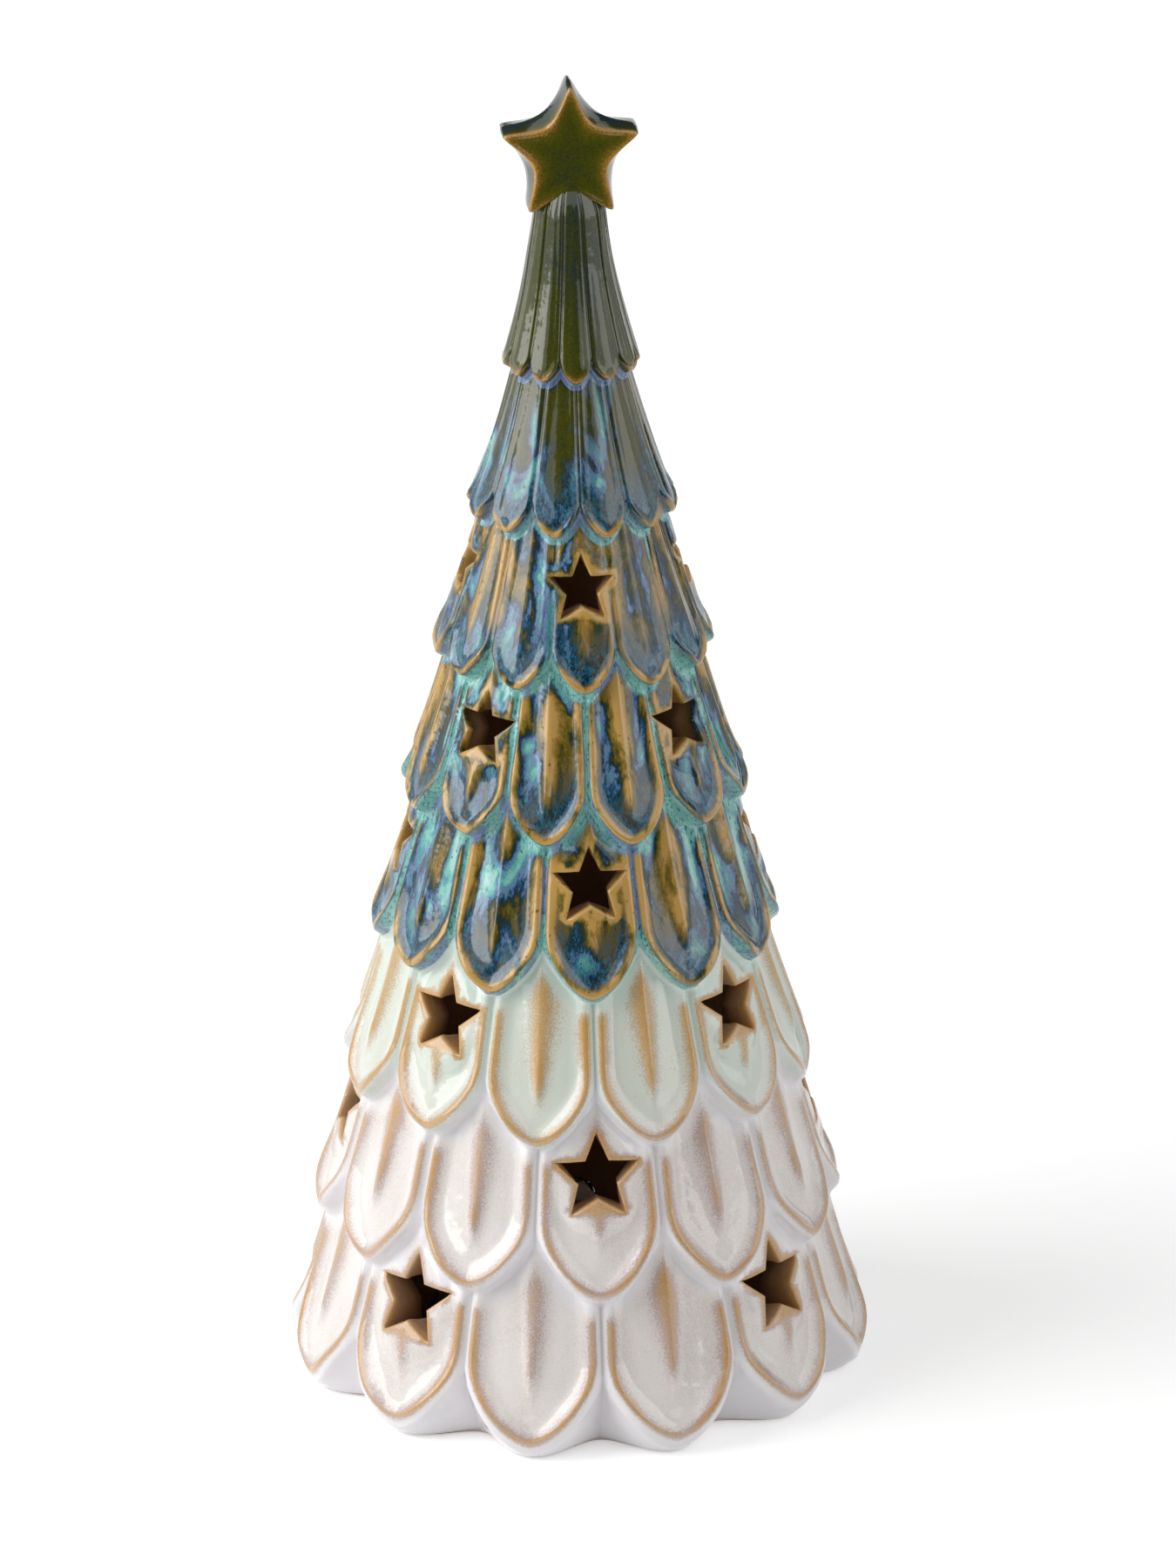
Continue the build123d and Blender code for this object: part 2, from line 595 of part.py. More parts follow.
def screw_group(places, top, head_radius, head, radius, length):
    """Pan-head screws standing at plan places, their heads resting at one height."""
    with BuildPart() as screws:
        with BuildSketch(Plane.XY.offset(top)):
            with Locations(*places):
                Circle(head_radius)
        extrude(amount=head)
        with BuildSketch(Plane.XY.offset(top)):
            with Locations(*places):
                Circle(radius)
        extrude(amount=-length)
        with BuildSketch(Plane.XY.offset(top + head)):
            with Locations(*places):
                Rectangle(2 * head_radius, SCREW_SLOT_WIDTH)
        extrude(amount=-SCREW_SLOT_DEPTH, mode=Mode.SUBTRACT)
    return screws


cover_screws = screw_group(
    BOSS_PLACES,
    COVER_TOP,
    COVER_SCREW_HEAD_RADIUS,
    COVER_SCREW_HEAD,
    COVER_SCREW_RADIUS,
    COVER_SCREW_LENGTH,
)
write_part(cover_screws, "cover_screws")

# Lamp plug: battery door with its hinge barrel, pins and thumb tab
with BuildPart() as battery_door:
    with BuildSketch(Plane.XY.offset(PLUG_BOTTOM)):
        Rectangle(2 * DOOR_HALF_LENGTH, 2 * DOOR_HALF_WIDTH)
        with Locations((0, DOOR_HALF_WIDTH)):
            Rectangle(DOOR_TAB_LENGTH, 2 * DOOR_TAB_WIDTH)
        with Locations((0, (DOOR_HINGE_Y - DOOR_HALF_WIDTH) / 2)):
            Rectangle(DOOR_BARREL_LENGTH, -DOOR_HINGE_Y - DOOR_HALF_WIDTH)
    extrude(amount=DOOR_THICKNESS)
    with BuildSketch(Plane.YZ):
        with Locations((DOOR_HINGE_Y, DOOR_HINGE_Z)):
            Circle(DOOR_BARREL_RADIUS)
    extrude(amount=DOOR_BARREL_LENGTH / 2, both=True)
    with BuildSketch(Plane.YZ):
        with Locations((DOOR_HINGE_Y, DOOR_HINGE_Z)):
            Circle(DOOR_PIN_RADIUS)
    extrude(amount=DOOR_BARREL_LENGTH / 2 + DOOR_PIN_LENGTH, both=True)
    with BuildSketch(Plane.XY.offset(PLUG_BOTTOM)):
        with GridLocations(0, DOOR_GRIP_PITCH, 1, DOOR_GRIPS):
            SlotOverall(DOOR_GRIP_LENGTH, DOOR_GRIP_WIDTH)
    extrude(amount=DOOR_GRIP, mode=Mode.SUBTRACT)
write_part(battery_door, "battery_door")

# Lamp plug: circuit board with its screws, timer chip and resistor
with BuildPart() as circuit_board:
    with BuildSketch(Plane.XY.offset(BOARD_BOTTOM)):
        with Locations((0, BOARD_Y)):
            Rectangle(BOARD_LENGTH, BOARD_WIDTH)
        with Locations((-BOARD_POST_X, BOARD_Y), (BOARD_POST_X, BOARD_Y)):
            Circle(BOARD_SCREW_RADIUS, mode=Mode.SUBTRACT)
    extrude(amount=BOARD_THICKNESS)
write_part(circuit_board, "circuit_board")

board_screws = screw_group(
    ((-BOARD_POST_X, BOARD_Y), (BOARD_POST_X, BOARD_Y)),
    BOARD_TOP,
    BOARD_SCREW_HEAD_RADIUS,
    BOARD_SCREW_HEAD,
    BOARD_SCREW_RADIUS,
    BOARD_SCREW_LENGTH,
)
write_part(board_screws, "board_screws")

with BuildPart() as timer_chip:
    with BuildSketch(Plane.XY.offset(BOARD_TOP)):
        with Locations((CHIP_X, BOARD_Y)):
            Rectangle(CHIP_LENGTH, CHIP_WIDTH)
    extrude(amount=CHIP_HEIGHT)
write_part(timer_chip, "timer_chip")

with BuildPart() as resistor:
    with BuildSketch(Plane.XY.offset(BOARD_TOP)):
        with Locations((0, BOARD_Y + RESISTOR_WIDTH)):
            Rectangle(RESISTOR_LENGTH, RESISTOR_WIDTH)
    extrude(amount=RESISTOR_HEIGHT)
write_part(resistor, "resistor")

# Lamp plug: slide switch under the board, its knob reached from below
with BuildPart() as switch_case:
    with BuildSketch(Plane.XY.offset(SWITCH_BOTTOM)):
        with Locations((0, BOARD_Y)):
            Rectangle(SWITCH_LENGTH, SWITCH_WIDTH)
    extrude(amount=SWITCH_HEIGHT)
    with BuildSketch(Plane.XY.offset(SWITCH_BOTTOM + SWITCH_WALL)):
        with Locations((0, BOARD_Y)):
            Rectangle(SWITCH_LENGTH - 2 * SWITCH_WALL, SWITCH_WIDTH - 2 * SWITCH_WALL)
    extrude(amount=SWITCH_HEIGHT - 2 * SWITCH_WALL, mode=Mode.SUBTRACT)
    with BuildSketch(Plane.XY.offset(SWITCH_BOTTOM)):
        with Locations((0, BOARD_Y)):
            Rectangle(KNOB_LENGTH + 2 * (SWITCH_TRAVEL + SWITCH_PLAY), KNOB_WIDTH + 2 * SWITCH_PLAY)
    extrude(amount=SWITCH_WALL, mode=Mode.SUBTRACT)
write_part(switch_case, "switch_case")

with BuildPart() as switch_knob:
    with BuildSketch(Plane.XY.offset(SWITCH_BOTTOM + SWITCH_WALL + SWITCH_PLAY)):
        with Locations((0, BOARD_Y)):
            Rectangle(SLIDER_LENGTH, SWITCH_WIDTH - 2 * (SWITCH_WALL + SWITCH_PLAY))
    extrude(amount=SLIDER_HEIGHT)
    with BuildSketch(Plane.XY.offset(PLUG_BOTTOM)):
        with Locations((0, BOARD_Y)):
            Rectangle(KNOB_LENGTH, KNOB_WIDTH)
    extrude(amount=SWITCH_BOTTOM + SWITCH_WALL + SWITCH_PLAY - PLUG_BOTTOM)
write_part(switch_knob, "switch_knob")


def battery_cell(side):
    """One AAA cell lying along X; side is where its positive end points."""
    negative_end = Plane(
        origin=(-side * (CONTACT_X - SPRING_LENGTH), side * CELL_Y, CELL_Z),
        x_dir=(0, 1, 0),
        z_dir=(side, 0, 0),
    )
    with BuildPart() as cell:
        with BuildSketch(negative_end):
            Circle(CELL_RADIUS)
        extrude(amount=CELL_LENGTH)
        fillet(cell.edges().filter_by(GeomType.CIRCLE), CELL_RIM)
        with BuildSketch(negative_end.offset(CELL_LENGTH)):
            Circle(NUB_RADIUS)
        extrude(amount=NUB_LENGTH)
    return cell


battery_1 = battery_cell(1)
write_part(battery_1, "battery_1")
battery_2 = battery_cell(-1)
write_part(battery_2, "battery_2")


def contact_coil(end):
    """Coil that presses on a cell's flat end, standing on the contact at one end of the bay."""
    turns = (SPRING_LENGTH - 2 * SPRING_WIRE) / SPRING_PITCH
    with BuildPart() as coil:
        with BuildLine() as path:
            Helix(
                pitch=SPRING_PITCH,
                height=turns * SPRING_PITCH,
                radius=SPRING_RADIUS,
                center=(end * CONTACT_X - end * SPRING_WIRE / 2, -end * CELL_Y, CELL_Z),
                direction=(-end, 0, 0),
            )
        with BuildSketch(Plane(origin=path.line @ 0, z_dir=path.line % 0)):
            Circle(SPRING_WIRE)
        sweep(is_frenet=True)
    return coil.part


# Lamp plug: sprung and flat contacts at the two ends of the bay
negative_coil = contact_coil(-1)
with BuildPart() as negative_contact:
    with BuildSketch(Plane.YZ.offset(-BAY_LENGTH / 2)):
        with Locations((CELL_Y, CELL_Z)):
            Rectangle(CONTACT_WIDTH, CONTACT_HEIGHT)
        with Locations((CELL_Y, (CELL_Z + ROOF_TOP + TAB_RISE) / 2)):
            Rectangle(TAB_WIDTH, ROOF_TOP + TAB_RISE - CELL_Z)
    extrude(amount=CONTACT_THICKNESS)
    add(negative_coil)
write_part(negative_contact, "negative_contact")

with BuildPart() as positive_contact:
    with BuildSketch(Plane.YZ.offset(-BAY_LENGTH / 2)):
        with Locations((-CELL_Y, CELL_Z)):
            Rectangle(CONTACT_WIDTH, CONTACT_HEIGHT)
        with Locations((-CELL_Y, (CELL_Z + ROOF_TOP + TAB_RISE) / 2)):
            Rectangle(TAB_WIDTH, ROOF_TOP + TAB_RISE - CELL_Z)
    extrude(amount=CONTACT_THICKNESS)
write_part(positive_contact, "positive_contact")

bridge_coil = contact_coil(1)
with BuildPart() as bridge_contact:
    with BuildSketch(Plane.YZ.offset(CONTACT_X)):
        with Locations((0, CELL_Z)):
            Rectangle(CONTACT_WIDTH + 2 * CELL_Y, CONTACT_HEIGHT)
    extrude(amount=CONTACT_THICKNESS)
    add(bridge_coil)
write_part(bridge_contact, "bridge_contact")

# Lamp plug: clear lens, the emitter inside it and its two leads
with BuildPart() as lamp_lens:
    with BuildSketch(Plane.XZ):
        with BuildLine():
            shoulder = LAMP_TOP - LENS_RADIUS
            Polyline(
                (0, LAMP_TOP),
                (0, LENS_BOTTOM + EMITTER_HEIGHT + LENS_GAP),
                (EMITTER_RADIUS + LENS_GAP, LENS_BOTTOM + EMITTER_HEIGHT + LENS_GAP),
                (EMITTER_RADIUS + LENS_GAP, LENS_BOTTOM),
                (LENS_FLANGE_RADIUS, LENS_BOTTOM),
                (LENS_FLANGE_RADIUS, LENS_BOTTOM + LENS_FLANGE),
                (LENS_RADIUS, LENS_BOTTOM + LENS_FLANGE),
                (LENS_RADIUS, shoulder),
            )
            RadiusArc((LENS_RADIUS, shoulder), (0, LAMP_TOP), -LENS_RADIUS)
        make_face()
    revolve(axis=Axis.Z)
write_part(lamp_lens, "lamp_lens")

with BuildPart() as lamp_emitter:
    with BuildSketch(Plane.XY.offset(LENS_BOTTOM)):
        Circle(EMITTER_RADIUS)
    extrude(amount=EMITTER_HEIGHT)
write_part(lamp_emitter, "lamp_emitter")

with BuildPart() as lamp_leads:
    with BuildSketch(Plane.XY.offset(LENS_BOTTOM)):
        with GridLocations(LEAD_SPACING, 0, 2, 1):
            Rectangle(LEAD_SIZE, LEAD_SIZE)
    extrude(amount=-LEAD_LENGTH)
write_part(lamp_leads, "lamp_leads")

# Lamp plug: wires from the leads and from the contact tabs to the board
lamp_wire_red = held_wire(
    (-LEAD_SPACING / 2, 0, LEAD_BOTTOM),
    (-LEAD_SPACING / 2, 0, WIRE_LEVEL),
    (-LEAD_SPACING / 2, LAMP_WIRE_Y, WIRE_LEVEL),
    (-LEAD_SPACING / 2, LAMP_WIRE_Y, BOARD_TOP),
)
write_part(lamp_wire_red, "lamp_wire_red")

lamp_wire_black = held_wire(
    (LEAD_SPACING / 2, 0, LEAD_BOTTOM),
    (LEAD_SPACING / 2, 0, WIRE_LEVEL),
    (LEAD_SPACING / 2, LAMP_WIRE_Y, WIRE_LEVEL),
    (LEAD_SPACING / 2, LAMP_WIRE_Y, BOARD_TOP),
)
write_part(lamp_wire_black, "lamp_wire_black")

battery_wire_red = held_wire(
    (-CONTACT_X, -CELL_Y, WIRE_LEVEL),
    (BATTERY_WIRE_RED_X, -CELL_Y, WIRE_LEVEL),
    (BATTERY_WIRE_RED_X, LAMP_WIRE_Y, WIRE_LEVEL),
    (BATTERY_WIRE_RED_X, LAMP_WIRE_Y, BOARD_TOP),
)
write_part(battery_wire_red, "battery_wire_red")

battery_wire_black = held_wire(
    (-CONTACT_X, CELL_Y, WIRE_LEVEL),
    (BATTERY_WIRE_BLACK_X, CELL_Y, WIRE_LEVEL),
    (BATTERY_WIRE_BLACK_X, LAMP_WIRE_Y, WIRE_LEVEL),
    (BATTERY_WIRE_BLACK_X, LAMP_WIRE_Y, BOARD_TOP),
)
write_part(battery_wire_black, "battery_wire_black")
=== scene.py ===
"""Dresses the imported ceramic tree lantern: glazed casting, lamp plug finishes, studio and camera."""

import json
import math
from collections import namedtuple

import bpy
import numpy as np
from mathutils import Matrix, Vector
from mathutils.geometry import delaunay_2d_cdt
from mathutils.noise import noise


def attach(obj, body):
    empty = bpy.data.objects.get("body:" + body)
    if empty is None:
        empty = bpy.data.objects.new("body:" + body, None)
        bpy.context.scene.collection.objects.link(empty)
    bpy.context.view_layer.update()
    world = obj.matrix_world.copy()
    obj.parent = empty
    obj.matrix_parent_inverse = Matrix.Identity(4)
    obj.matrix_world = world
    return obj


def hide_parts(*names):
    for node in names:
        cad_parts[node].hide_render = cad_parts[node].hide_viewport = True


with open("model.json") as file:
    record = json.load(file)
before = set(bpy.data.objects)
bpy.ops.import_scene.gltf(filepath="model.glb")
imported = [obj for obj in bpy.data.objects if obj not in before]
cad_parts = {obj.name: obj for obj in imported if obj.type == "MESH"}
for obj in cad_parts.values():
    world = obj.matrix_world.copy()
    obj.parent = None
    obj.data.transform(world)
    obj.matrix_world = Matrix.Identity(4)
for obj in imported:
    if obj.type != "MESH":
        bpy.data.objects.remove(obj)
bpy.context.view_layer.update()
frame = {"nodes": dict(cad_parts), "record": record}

MM = 0.001

# Casting, in millimetres as in the part's source
TREE_HEIGHT = 300.0
TIERS = 8
PETALS = 12
HALF_PETAL = math.pi / PETALS
LOWEST_TIP = 3.0
TOP_TIER_LENGTH = 36.2
TOP_BELLY = 15.3
BASE_BELLY = 65.0
SIDE_BOW = 1.9
BELLY_SHARE = 0.4
BELLY_ROUND = 2.0
BELLY_SWELL = 0.4
TIP_TUCK = 1.5
TIP_SOFTNESS = 0.006
PETAL_FLARE = 0.8
LOBE_DEPTH = 1.1
NECK_LOBE_DEPTH = 0.5
PETAL_STEP = 1.2
TOP_SCALLOP_RATIO = 0.56
BASE_SCALLOP_RATIO = 0.47
SCALLOP_POWER = 1.7
TIER_OVERLAP = 3.0
WALL = 5.0
NECK_RADIUS = 7.8
NECK_CAP_RINGS = ((1.5, 0.95), (3.0, 0.87), (4.6, 0.76), (6.2, 0.6), (7.4, 0.38))
NECK_CAP_TOP = 7.9
STAR_CENTRE = 284.3
NECK_HEIGHT = 271.3
TIER_PITCH = (NECK_HEIGHT - TOP_TIER_LENGTH - LOWEST_TIP) / (TIERS - 1)

# Unevenness of the petals' tips and of the glaze
TIP_UNEVEN = 1.3
PETAL_SEED = 12.9898
TIER_SEED = 78.233
SEED_SCALE = 43758.5453
GLAZE_UNEVEN = 0.4
GLAZE_WAVE = (0.075, 0.075, 0.035)
LEVEL_BELOW = 4.0
LEVEL_ABOVE = 12.0
LEAST_RADIUS = 1.0

# Relief of a petal with this half width, and smaller on the narrower petals above
FULL_HALF = 14.0
LARGEST_RELIEF = 1.1
VALLEY_HALF = 0.75
VALLEY_DEPTH = 0.9
VALLEY_SIDE = 0.8
LEAST_VALLEY_SIDE = 0.7
LEAST_VALLEY = 0.35
RIM_PLACE = 2.1
RIM_WIDTH = 1.4
RIM_HEIGHT = 0.6
RIM_SIDE = 1.15
RIM_CORNER = 2.5
FLUTE_DEPTH = 1.5
FLUTE_FULL = 6.0
RIB_HEIGHT = 1.5
RIB_WIDTH = 1.0
RIB_SPREAD = 2.0
RIB_START = 9.0
RIB_FULL = 17.0
RIB_WIDE = 34.0
RIBLESS_TIER = 2
RIBBED_TIER = 4

# Glaze on that relief: thin on rims and ribs, gathered in beads and pools
RIM_GLAZE = 1.55
LEAST_RIM_GLAZE = 0.9
RIB_GLAZE = 1.25
RIB_BARE = 0.78
HEM_START = 0.35
HEM_END = 1.1
PLAIN_BEAD = 0.35
BEAD_CORE = 0.1
POOL_REACH = 5.0

# Foot, with its edge's rings as height, inset and bareness, and the hollow
FOOT_RADIUS = 60.5
FOOT_LOBE = 9.0
FOOT_STEP = 0.3
FOOT_CURVE = 0.8
FOOT_SHARES = (0.78, 0.55, 0.34, 0.17)
FOOT_EDGE_RINGS = ((0.3, 0.1, 0.4), (0.06, 0.4, 0.9), (0.0, 1.0, 1.0))
FOOT_INNER = 44.0
FOOT_RECESS = 4.0
FOOT_CHAMFER = 0.5
FLOOR_TOP = 9.0
SOCKET_RADIUS = 34.0
SOCKET_CHAMFER = 0.3
CAVITY_BASE = 46.5
CAVITY_CLOSE = 10.0
CORNER_INSET = 1.5
CORNER_RISE = 1.0
INNER_ROWS_RISE = 5.0
INNER_ROWS_STOP = 4.0

# Star windows
WINDOWS = 4
WINDOW_TURN = 2 * math.pi / WINDOWS
FIRST_WINDOW_TIER = 3
SMALL_WINDOW = 7.7
LARGE_WINDOW = 10.3
SMALL_WINDOW_RISE = 22.5
LARGE_WINDOW_RISE = 28.7
STAR_POINTS = 5
WINDOW_WAIST = 0.45
WINDOW_LEAN = math.atan2(BASE_BELLY - TOP_BELLY, TIER_PITCH * (TIERS - 1))
WINDOW_SLANT = math.cos(WINDOW_LEAN)
WINDOW_MARGIN = 1.7
BLOCK_SHARE = 0.9
BLOCK_POINTS = 0.1
CALM_START = 0.95
CALM_END = 1.4
RIM_ROUND = 0.7
RIM_RINGS = (0.6, 0.25, 0.0)
RIM_BEAD = 0.3
SHARPEST_CORNER = 1.3
WALL_RINGS = (0.12, 0.35, 0.65, 1.0)
WALL_STAR = 0.72
WALL_TAPER = 0.3
WALL_ROUNDED = 0.5
WALL_RIDGE_LOSS = 0.5
WALL_CLAY = 0.15
REACH_PASSES = 8
WINDOW_EDGE_POINTS = 7
SAME_POINT = 1e-5
TINY_AREA = 1e-6

# Grids of the casting's outside and inside
FINE = 14
COARSE_TIERS = 3
COLUMN_CROWDING = 0.42
ROW_CROWDING = 0.18
LIP_REACH = 1.9
LIP_STEPS = (1.5, 1.0, 0.6, 0.2, -0.2, -0.6, -1.0, -1.4)
LIP_FOOT = 1.3
LIP_ROUND = 1.2
LEAST_LIP = 0.5
EDGE_SLACK = 0.4
BODY_ROWS = 21
INNER_COLUMNS = 96
INNER_ROWS = 62

# Star on top, with its rings as scale or share, depth, ridge and bead
FINIAL_HALF = 5.5
FINIAL_FACE_WAIST = 0.48
FINIAL_BODY_WAIST = 0.6
FINIAL_FACE_SCALE = 0.985
FINIAL_EDGE_POINTS = 12
FINIAL_EDGE_HOLLOW = 0.06
FINIAL_SMOOTHING = 6
FINIAL_FACE_RINGS = (
    (0.3, 0.93, 0.0, 0.0), (0.55, 0.93, 0.12, 0.0), (0.75, 0.935, 0.4, 0.0), (0.84, 0.96, 0.62, 0.0),
    (0.9, 1.0, 0.8, 0.0), (0.95, 1.0, 0.92, 0.0), (0.985, 0.94, 1.0, 0.0),
)
FINIAL_SIDE_RINGS = (
    (0.1, 0.84, 0.55, 0.0), (0.35, 0.62, 0.0, 0.3), (0.7, 0.35, 0.0, 0.5), (1.0, 0.0, 0.0, 0.6)
)
NOTCH_FADE = 0.85
NOTCH_REACH = 0.42

# Studio, in metres, degrees and watts
CAMERA_TURN = -4.84
CAMERA_ROLL = -0.47
CAMERA_PLACE = (0.0, -2.051, 0.920)
CAMERA_AIM = (0.003, 0.0, 0.1368)
CAMERA_LENS = 226.64
SENSOR_HEIGHT = 36.0
FLOOR_SIZE = 12.0
FLOOR_GAP = 0.0001
# The floor's glow to the camera is weaker near the tree than far off, so the floor round the foot is painted
# darker: painted shade that deepens its shadow
NEAR_GLOW_PAINTED_SHADE = 0.4
FAR_GLOW = 0.56
GLOW_NEAR = 0.3
GLOW_FAR = 1.2
SKY_STRENGTH = 0.33
LIGHT_TARGET = (0.0, 0.0, 0.14)

# Lamps by place, size and power, and dark cards by size, place and turns
LIGHTS = {"key": ((-1.4, -0.25, 0.95), 1.5, 24.5), "fill": ((1.4, -0.7, 0.8), 1.3, 6.5)}
FLAGS = {
    "front_flag": ((0.8, 1.9), (-0.06, -0.95, 0.62), (-40.0, 0.0, 0.0)),
    "back_flag": ((2.0, 1.0), (0.0, 1.3, 0.95), (120.0, 0.0, 0.0)),
    "side_flag": ((0.22, 1.6), (0.98, 0.66, 0.4), (90.0, 0.0, 124.0)),
}

# A grid's points as numbers by row and column, the columns' angles and the points' heights
Grid = namedtuple("Grid", "numbers turn heights")


def smoothstep(low, high, value):
    share = np.clip((value - low) / (high - low), 0.0, 1.0)
    return share * share * (3 - 2 * share)


def blend(start, end, share):
    return start + (end - start) * share


def smooth_min(first, second, reach):
    near = np.maximum(reach - np.abs(first - second), 0.0) / reach
    return np.minimum(first, second) - near * near * reach / 4


def bump(value, width):
    return np.exp(-(value / width) ** 2)


def signed_turn(turn, centre_turn):
    """Angle from a centre, up to half a turn each way."""
    return (turn - centre_turn + math.pi) % (2 * math.pi) - math.pi


def tip_height(tier):
    return LOWEST_TIP + (TIERS - tier) * TIER_PITCH


def belly_radius(tier):
    share = (tier - 1) / (TIERS - 1)
    return blend(TOP_BELLY, BASE_BELLY, share) + 4 * SIDE_BOW * share * (1 - share)


def half_width(tier):
    return (belly_radius(tier) - TIP_TUCK) * HALF_PETAL


def scallop_depth(tier):
    ratio = blend(TOP_SCALLOP_RATIO, BASE_SCALLOP_RATIO, (tier - 1) / (TIERS - 1))
    return ratio * 2 * half_width(tier)


def belly_height(tier):
    return tip_height(tier) + BELLY_SHARE * scallop_depth(tier)


def top_height(tier):
    return NECK_HEIGHT if tier == 1 else tip_height(tier - 1) + scallop_depth(tier - 1) + TIER_OVERLAP


def top_radius(tier):
    if tier == 1:
        return NECK_RADIUS
    return straight_crest(tier - 1, top_height(tier)) - LOBE_DEPTH - VALLEY_DEPTH - PETAL_STEP


def straight_crest(tier, height):
    share = (height - belly_height(tier)) / (top_height(tier) - belly_height(tier))
    return blend(belly_radius(tier), top_radius(tier), share)


def petals_across(tier, turn):
    """Place round the tree in petals. Odd rows have a petal in front, even rows a valley."""
    return (turn - (0.0 if tier % 2 else HALF_PETAL)) / (2 * HALF_PETAL)


def petal_phase(tier, turn):
    """Place across a petal: 0 in its middle and 1 in the valley beside it."""
    across = petals_across(tier, turn)
    return np.abs(2 * (across - np.round(across)))


def petal_number(tier, turn):
    """A number from 0 to 1 of each petal's own."""
    petal = np.round(petals_across(tier, turn)) % PETALS
    return (np.sin(petal * PETAL_SEED + tier * TIER_SEED) * SEED_SCALE) % 1.0


def scallop(tier, turn):
    """Height of a row's lower edge, and the length of that edge for each step across it."""
    phase = petal_phase(tier, turn)
    depth = scallop_depth(tier)
    curve = (phase**2 + TIP_SOFTNESS) ** (SCALLOP_POWER / 2) - TIP_SOFTNESS ** (SCALLOP_POWER / 2)
    lift = TIP_UNEVEN * (petal_number(tier, turn) - 0.5) * (1 - phase**2) ** 2
    edge = tip_height(tier) + depth * curve + lift * half_width(tier) / FULL_HALF
    slope = SCALLOP_POWER * depth * phase ** (SCALLOP_POWER - 1) / half_width(tier)
    return edge, np.sqrt(1 + slope**2)


def petal_surface(tier, turn, height):
    """Radius of one row's petals, with where glaze thins on their ridges and gathers between them."""
    phase = petal_phase(tier, turn)
    tip, belly, top = tip_height(tier), belly_height(tier), top_height(tier)
    half, depth = half_width(tier), scallop_depth(tier)
    size = min(half / FULL_HALF, LARGEST_RELIEF)
    drop = np.clip((top - height) / (top - belly), 0.0, 1.0)
    upper = straight_crest(tier, height) - 4 * PETAL_FLARE * drop * (1 - drop)
    lower = belly_radius(tier) - TIP_TUCK * (belly - height) / (belly - tip)
    crest = smooth_min(upper, lower, BELLY_ROUND) + BELLY_SWELL
    lobe = blend(NECK_LOBE_DEPTH, LOBE_DEPTH, drop)

    # Relief
    edge, stretch = scallop(tier, turn)
    aside = (1 - phase) * crest * HALF_PETAL - VALLEY_HALF * size
    inside = smooth_min((height - edge) / stretch, aside + RIM_SIDE * size, RIM_CORNER * size)
    rise = height - tip
    rim = bump(inside - RIM_PLACE * size, RIM_WIDTH * size)
    flute = smoothstep(RIM_PLACE * size, FLUTE_FULL * size, inside)
    ribbed = float(smoothstep(RIBLESS_TIER, RIBBED_TIER, tier))
    rib_end = smoothstep(RIB_START * size, RIB_FULL * size, rise) * ribbed
    rib_width = size * (RIB_WIDTH + RIB_SPREAD * smoothstep(RIB_START * size, RIB_WIDE * size, rise))
    rib = bump(phase * half, rib_width) * rib_end
    valley = 1 - smoothstep(-VALLEY_HALF * size, max(VALLEY_SIDE * size, LEAST_VALLEY_SIDE), aside)
    relief = size * (RIM_HEIGHT * rim - FLUTE_DEPTH * flute + RIB_HEIGHT * rib * flute)
    relief = relief - VALLEY_DEPTH * max(size, LEAST_VALLEY) * valley
    calm = window_clearance(tier, turn, height, belly_radius(tier))
    radius = crest - lobe * phase**2 + calm * relief

    # Glaze, which shows along the hems alone on rows without ribs
    hem = 1 - smoothstep(HEM_START * depth, HEM_END * depth, rise)
    hem = np.maximum(hem, ribbed)
    rim_glaze = bump(inside - RIM_PLACE * size, RIM_GLAZE * max(size, LEAST_RIM_GLAZE)) * hem
    rib_glaze = bump(phase * half, RIB_GLAZE * rib_width) * rib_end
    ridge = np.maximum(rim_glaze, RIB_BARE * rib_glaze * flute)
    bead_end = RIM_PLACE * size * blend(PLAIN_BEAD, 1.0, ribbed)
    bead = (1 - smoothstep(BEAD_CORE * bead_end, bead_end, inside)) * hem
    if tier > 1:
        edge_above, stretch_above = scallop(tier - 1, turn)
        pool = 1 - smoothstep(0.0, POOL_REACH * size, (edge_above - height) / stretch_above)
        bead = np.maximum(bead, pool)
    return radius, ridge * (1 - bead), bead


def first_window(tier):
    """Angle of a row's first window, which is in front on odd rows only."""
    return 0.0 if tier % 2 else WINDOW_TURN / 2


def window_share(tier):
    return (tier - FIRST_WINDOW_TIER) / (TIERS - FIRST_WINDOW_TIER)


def window_radius(tier):
    return blend(SMALL_WINDOW, LARGE_WINDOW, window_share(tier))


def window_height(tier):
    return tip_height(tier) + blend(SMALL_WINDOW_RISE, LARGE_WINDOW_RISE, window_share(tier))


def window_clearance(tier, turn, height, out):
    """0 beside a star window and 1 away from it: the relief is flat round the windows."""
    if tier < FIRST_WINDOW_TIER:
        return 1.0
    half_way = WINDOW_TURN / 2
    beside = ((turn - first_window(tier) + half_way) % WINDOW_TURN - half_way) * out
    away = np.hypot(beside, height - window_height(tier)) / window_radius(tier)
    return smoothstep(CALM_START, CALM_END, away)


def foot_surface(turn, height):
    """Radius of the white foot that shows under the lowest petals."""
    phase = petal_phase(TIERS, turn)
    edge, _ = scallop(TIERS, turn)
    top = petal_surface(TIERS, turn, edge + LIP_REACH)[0] - FOOT_STEP
    floor = FOOT_RADIUS - FOOT_LOBE * (1 - np.cos(math.pi * phase)) / 2
    share = np.clip(height / edge, 0.0, 1.0)
    return blend(floor, top, share**FOOT_CURVE)


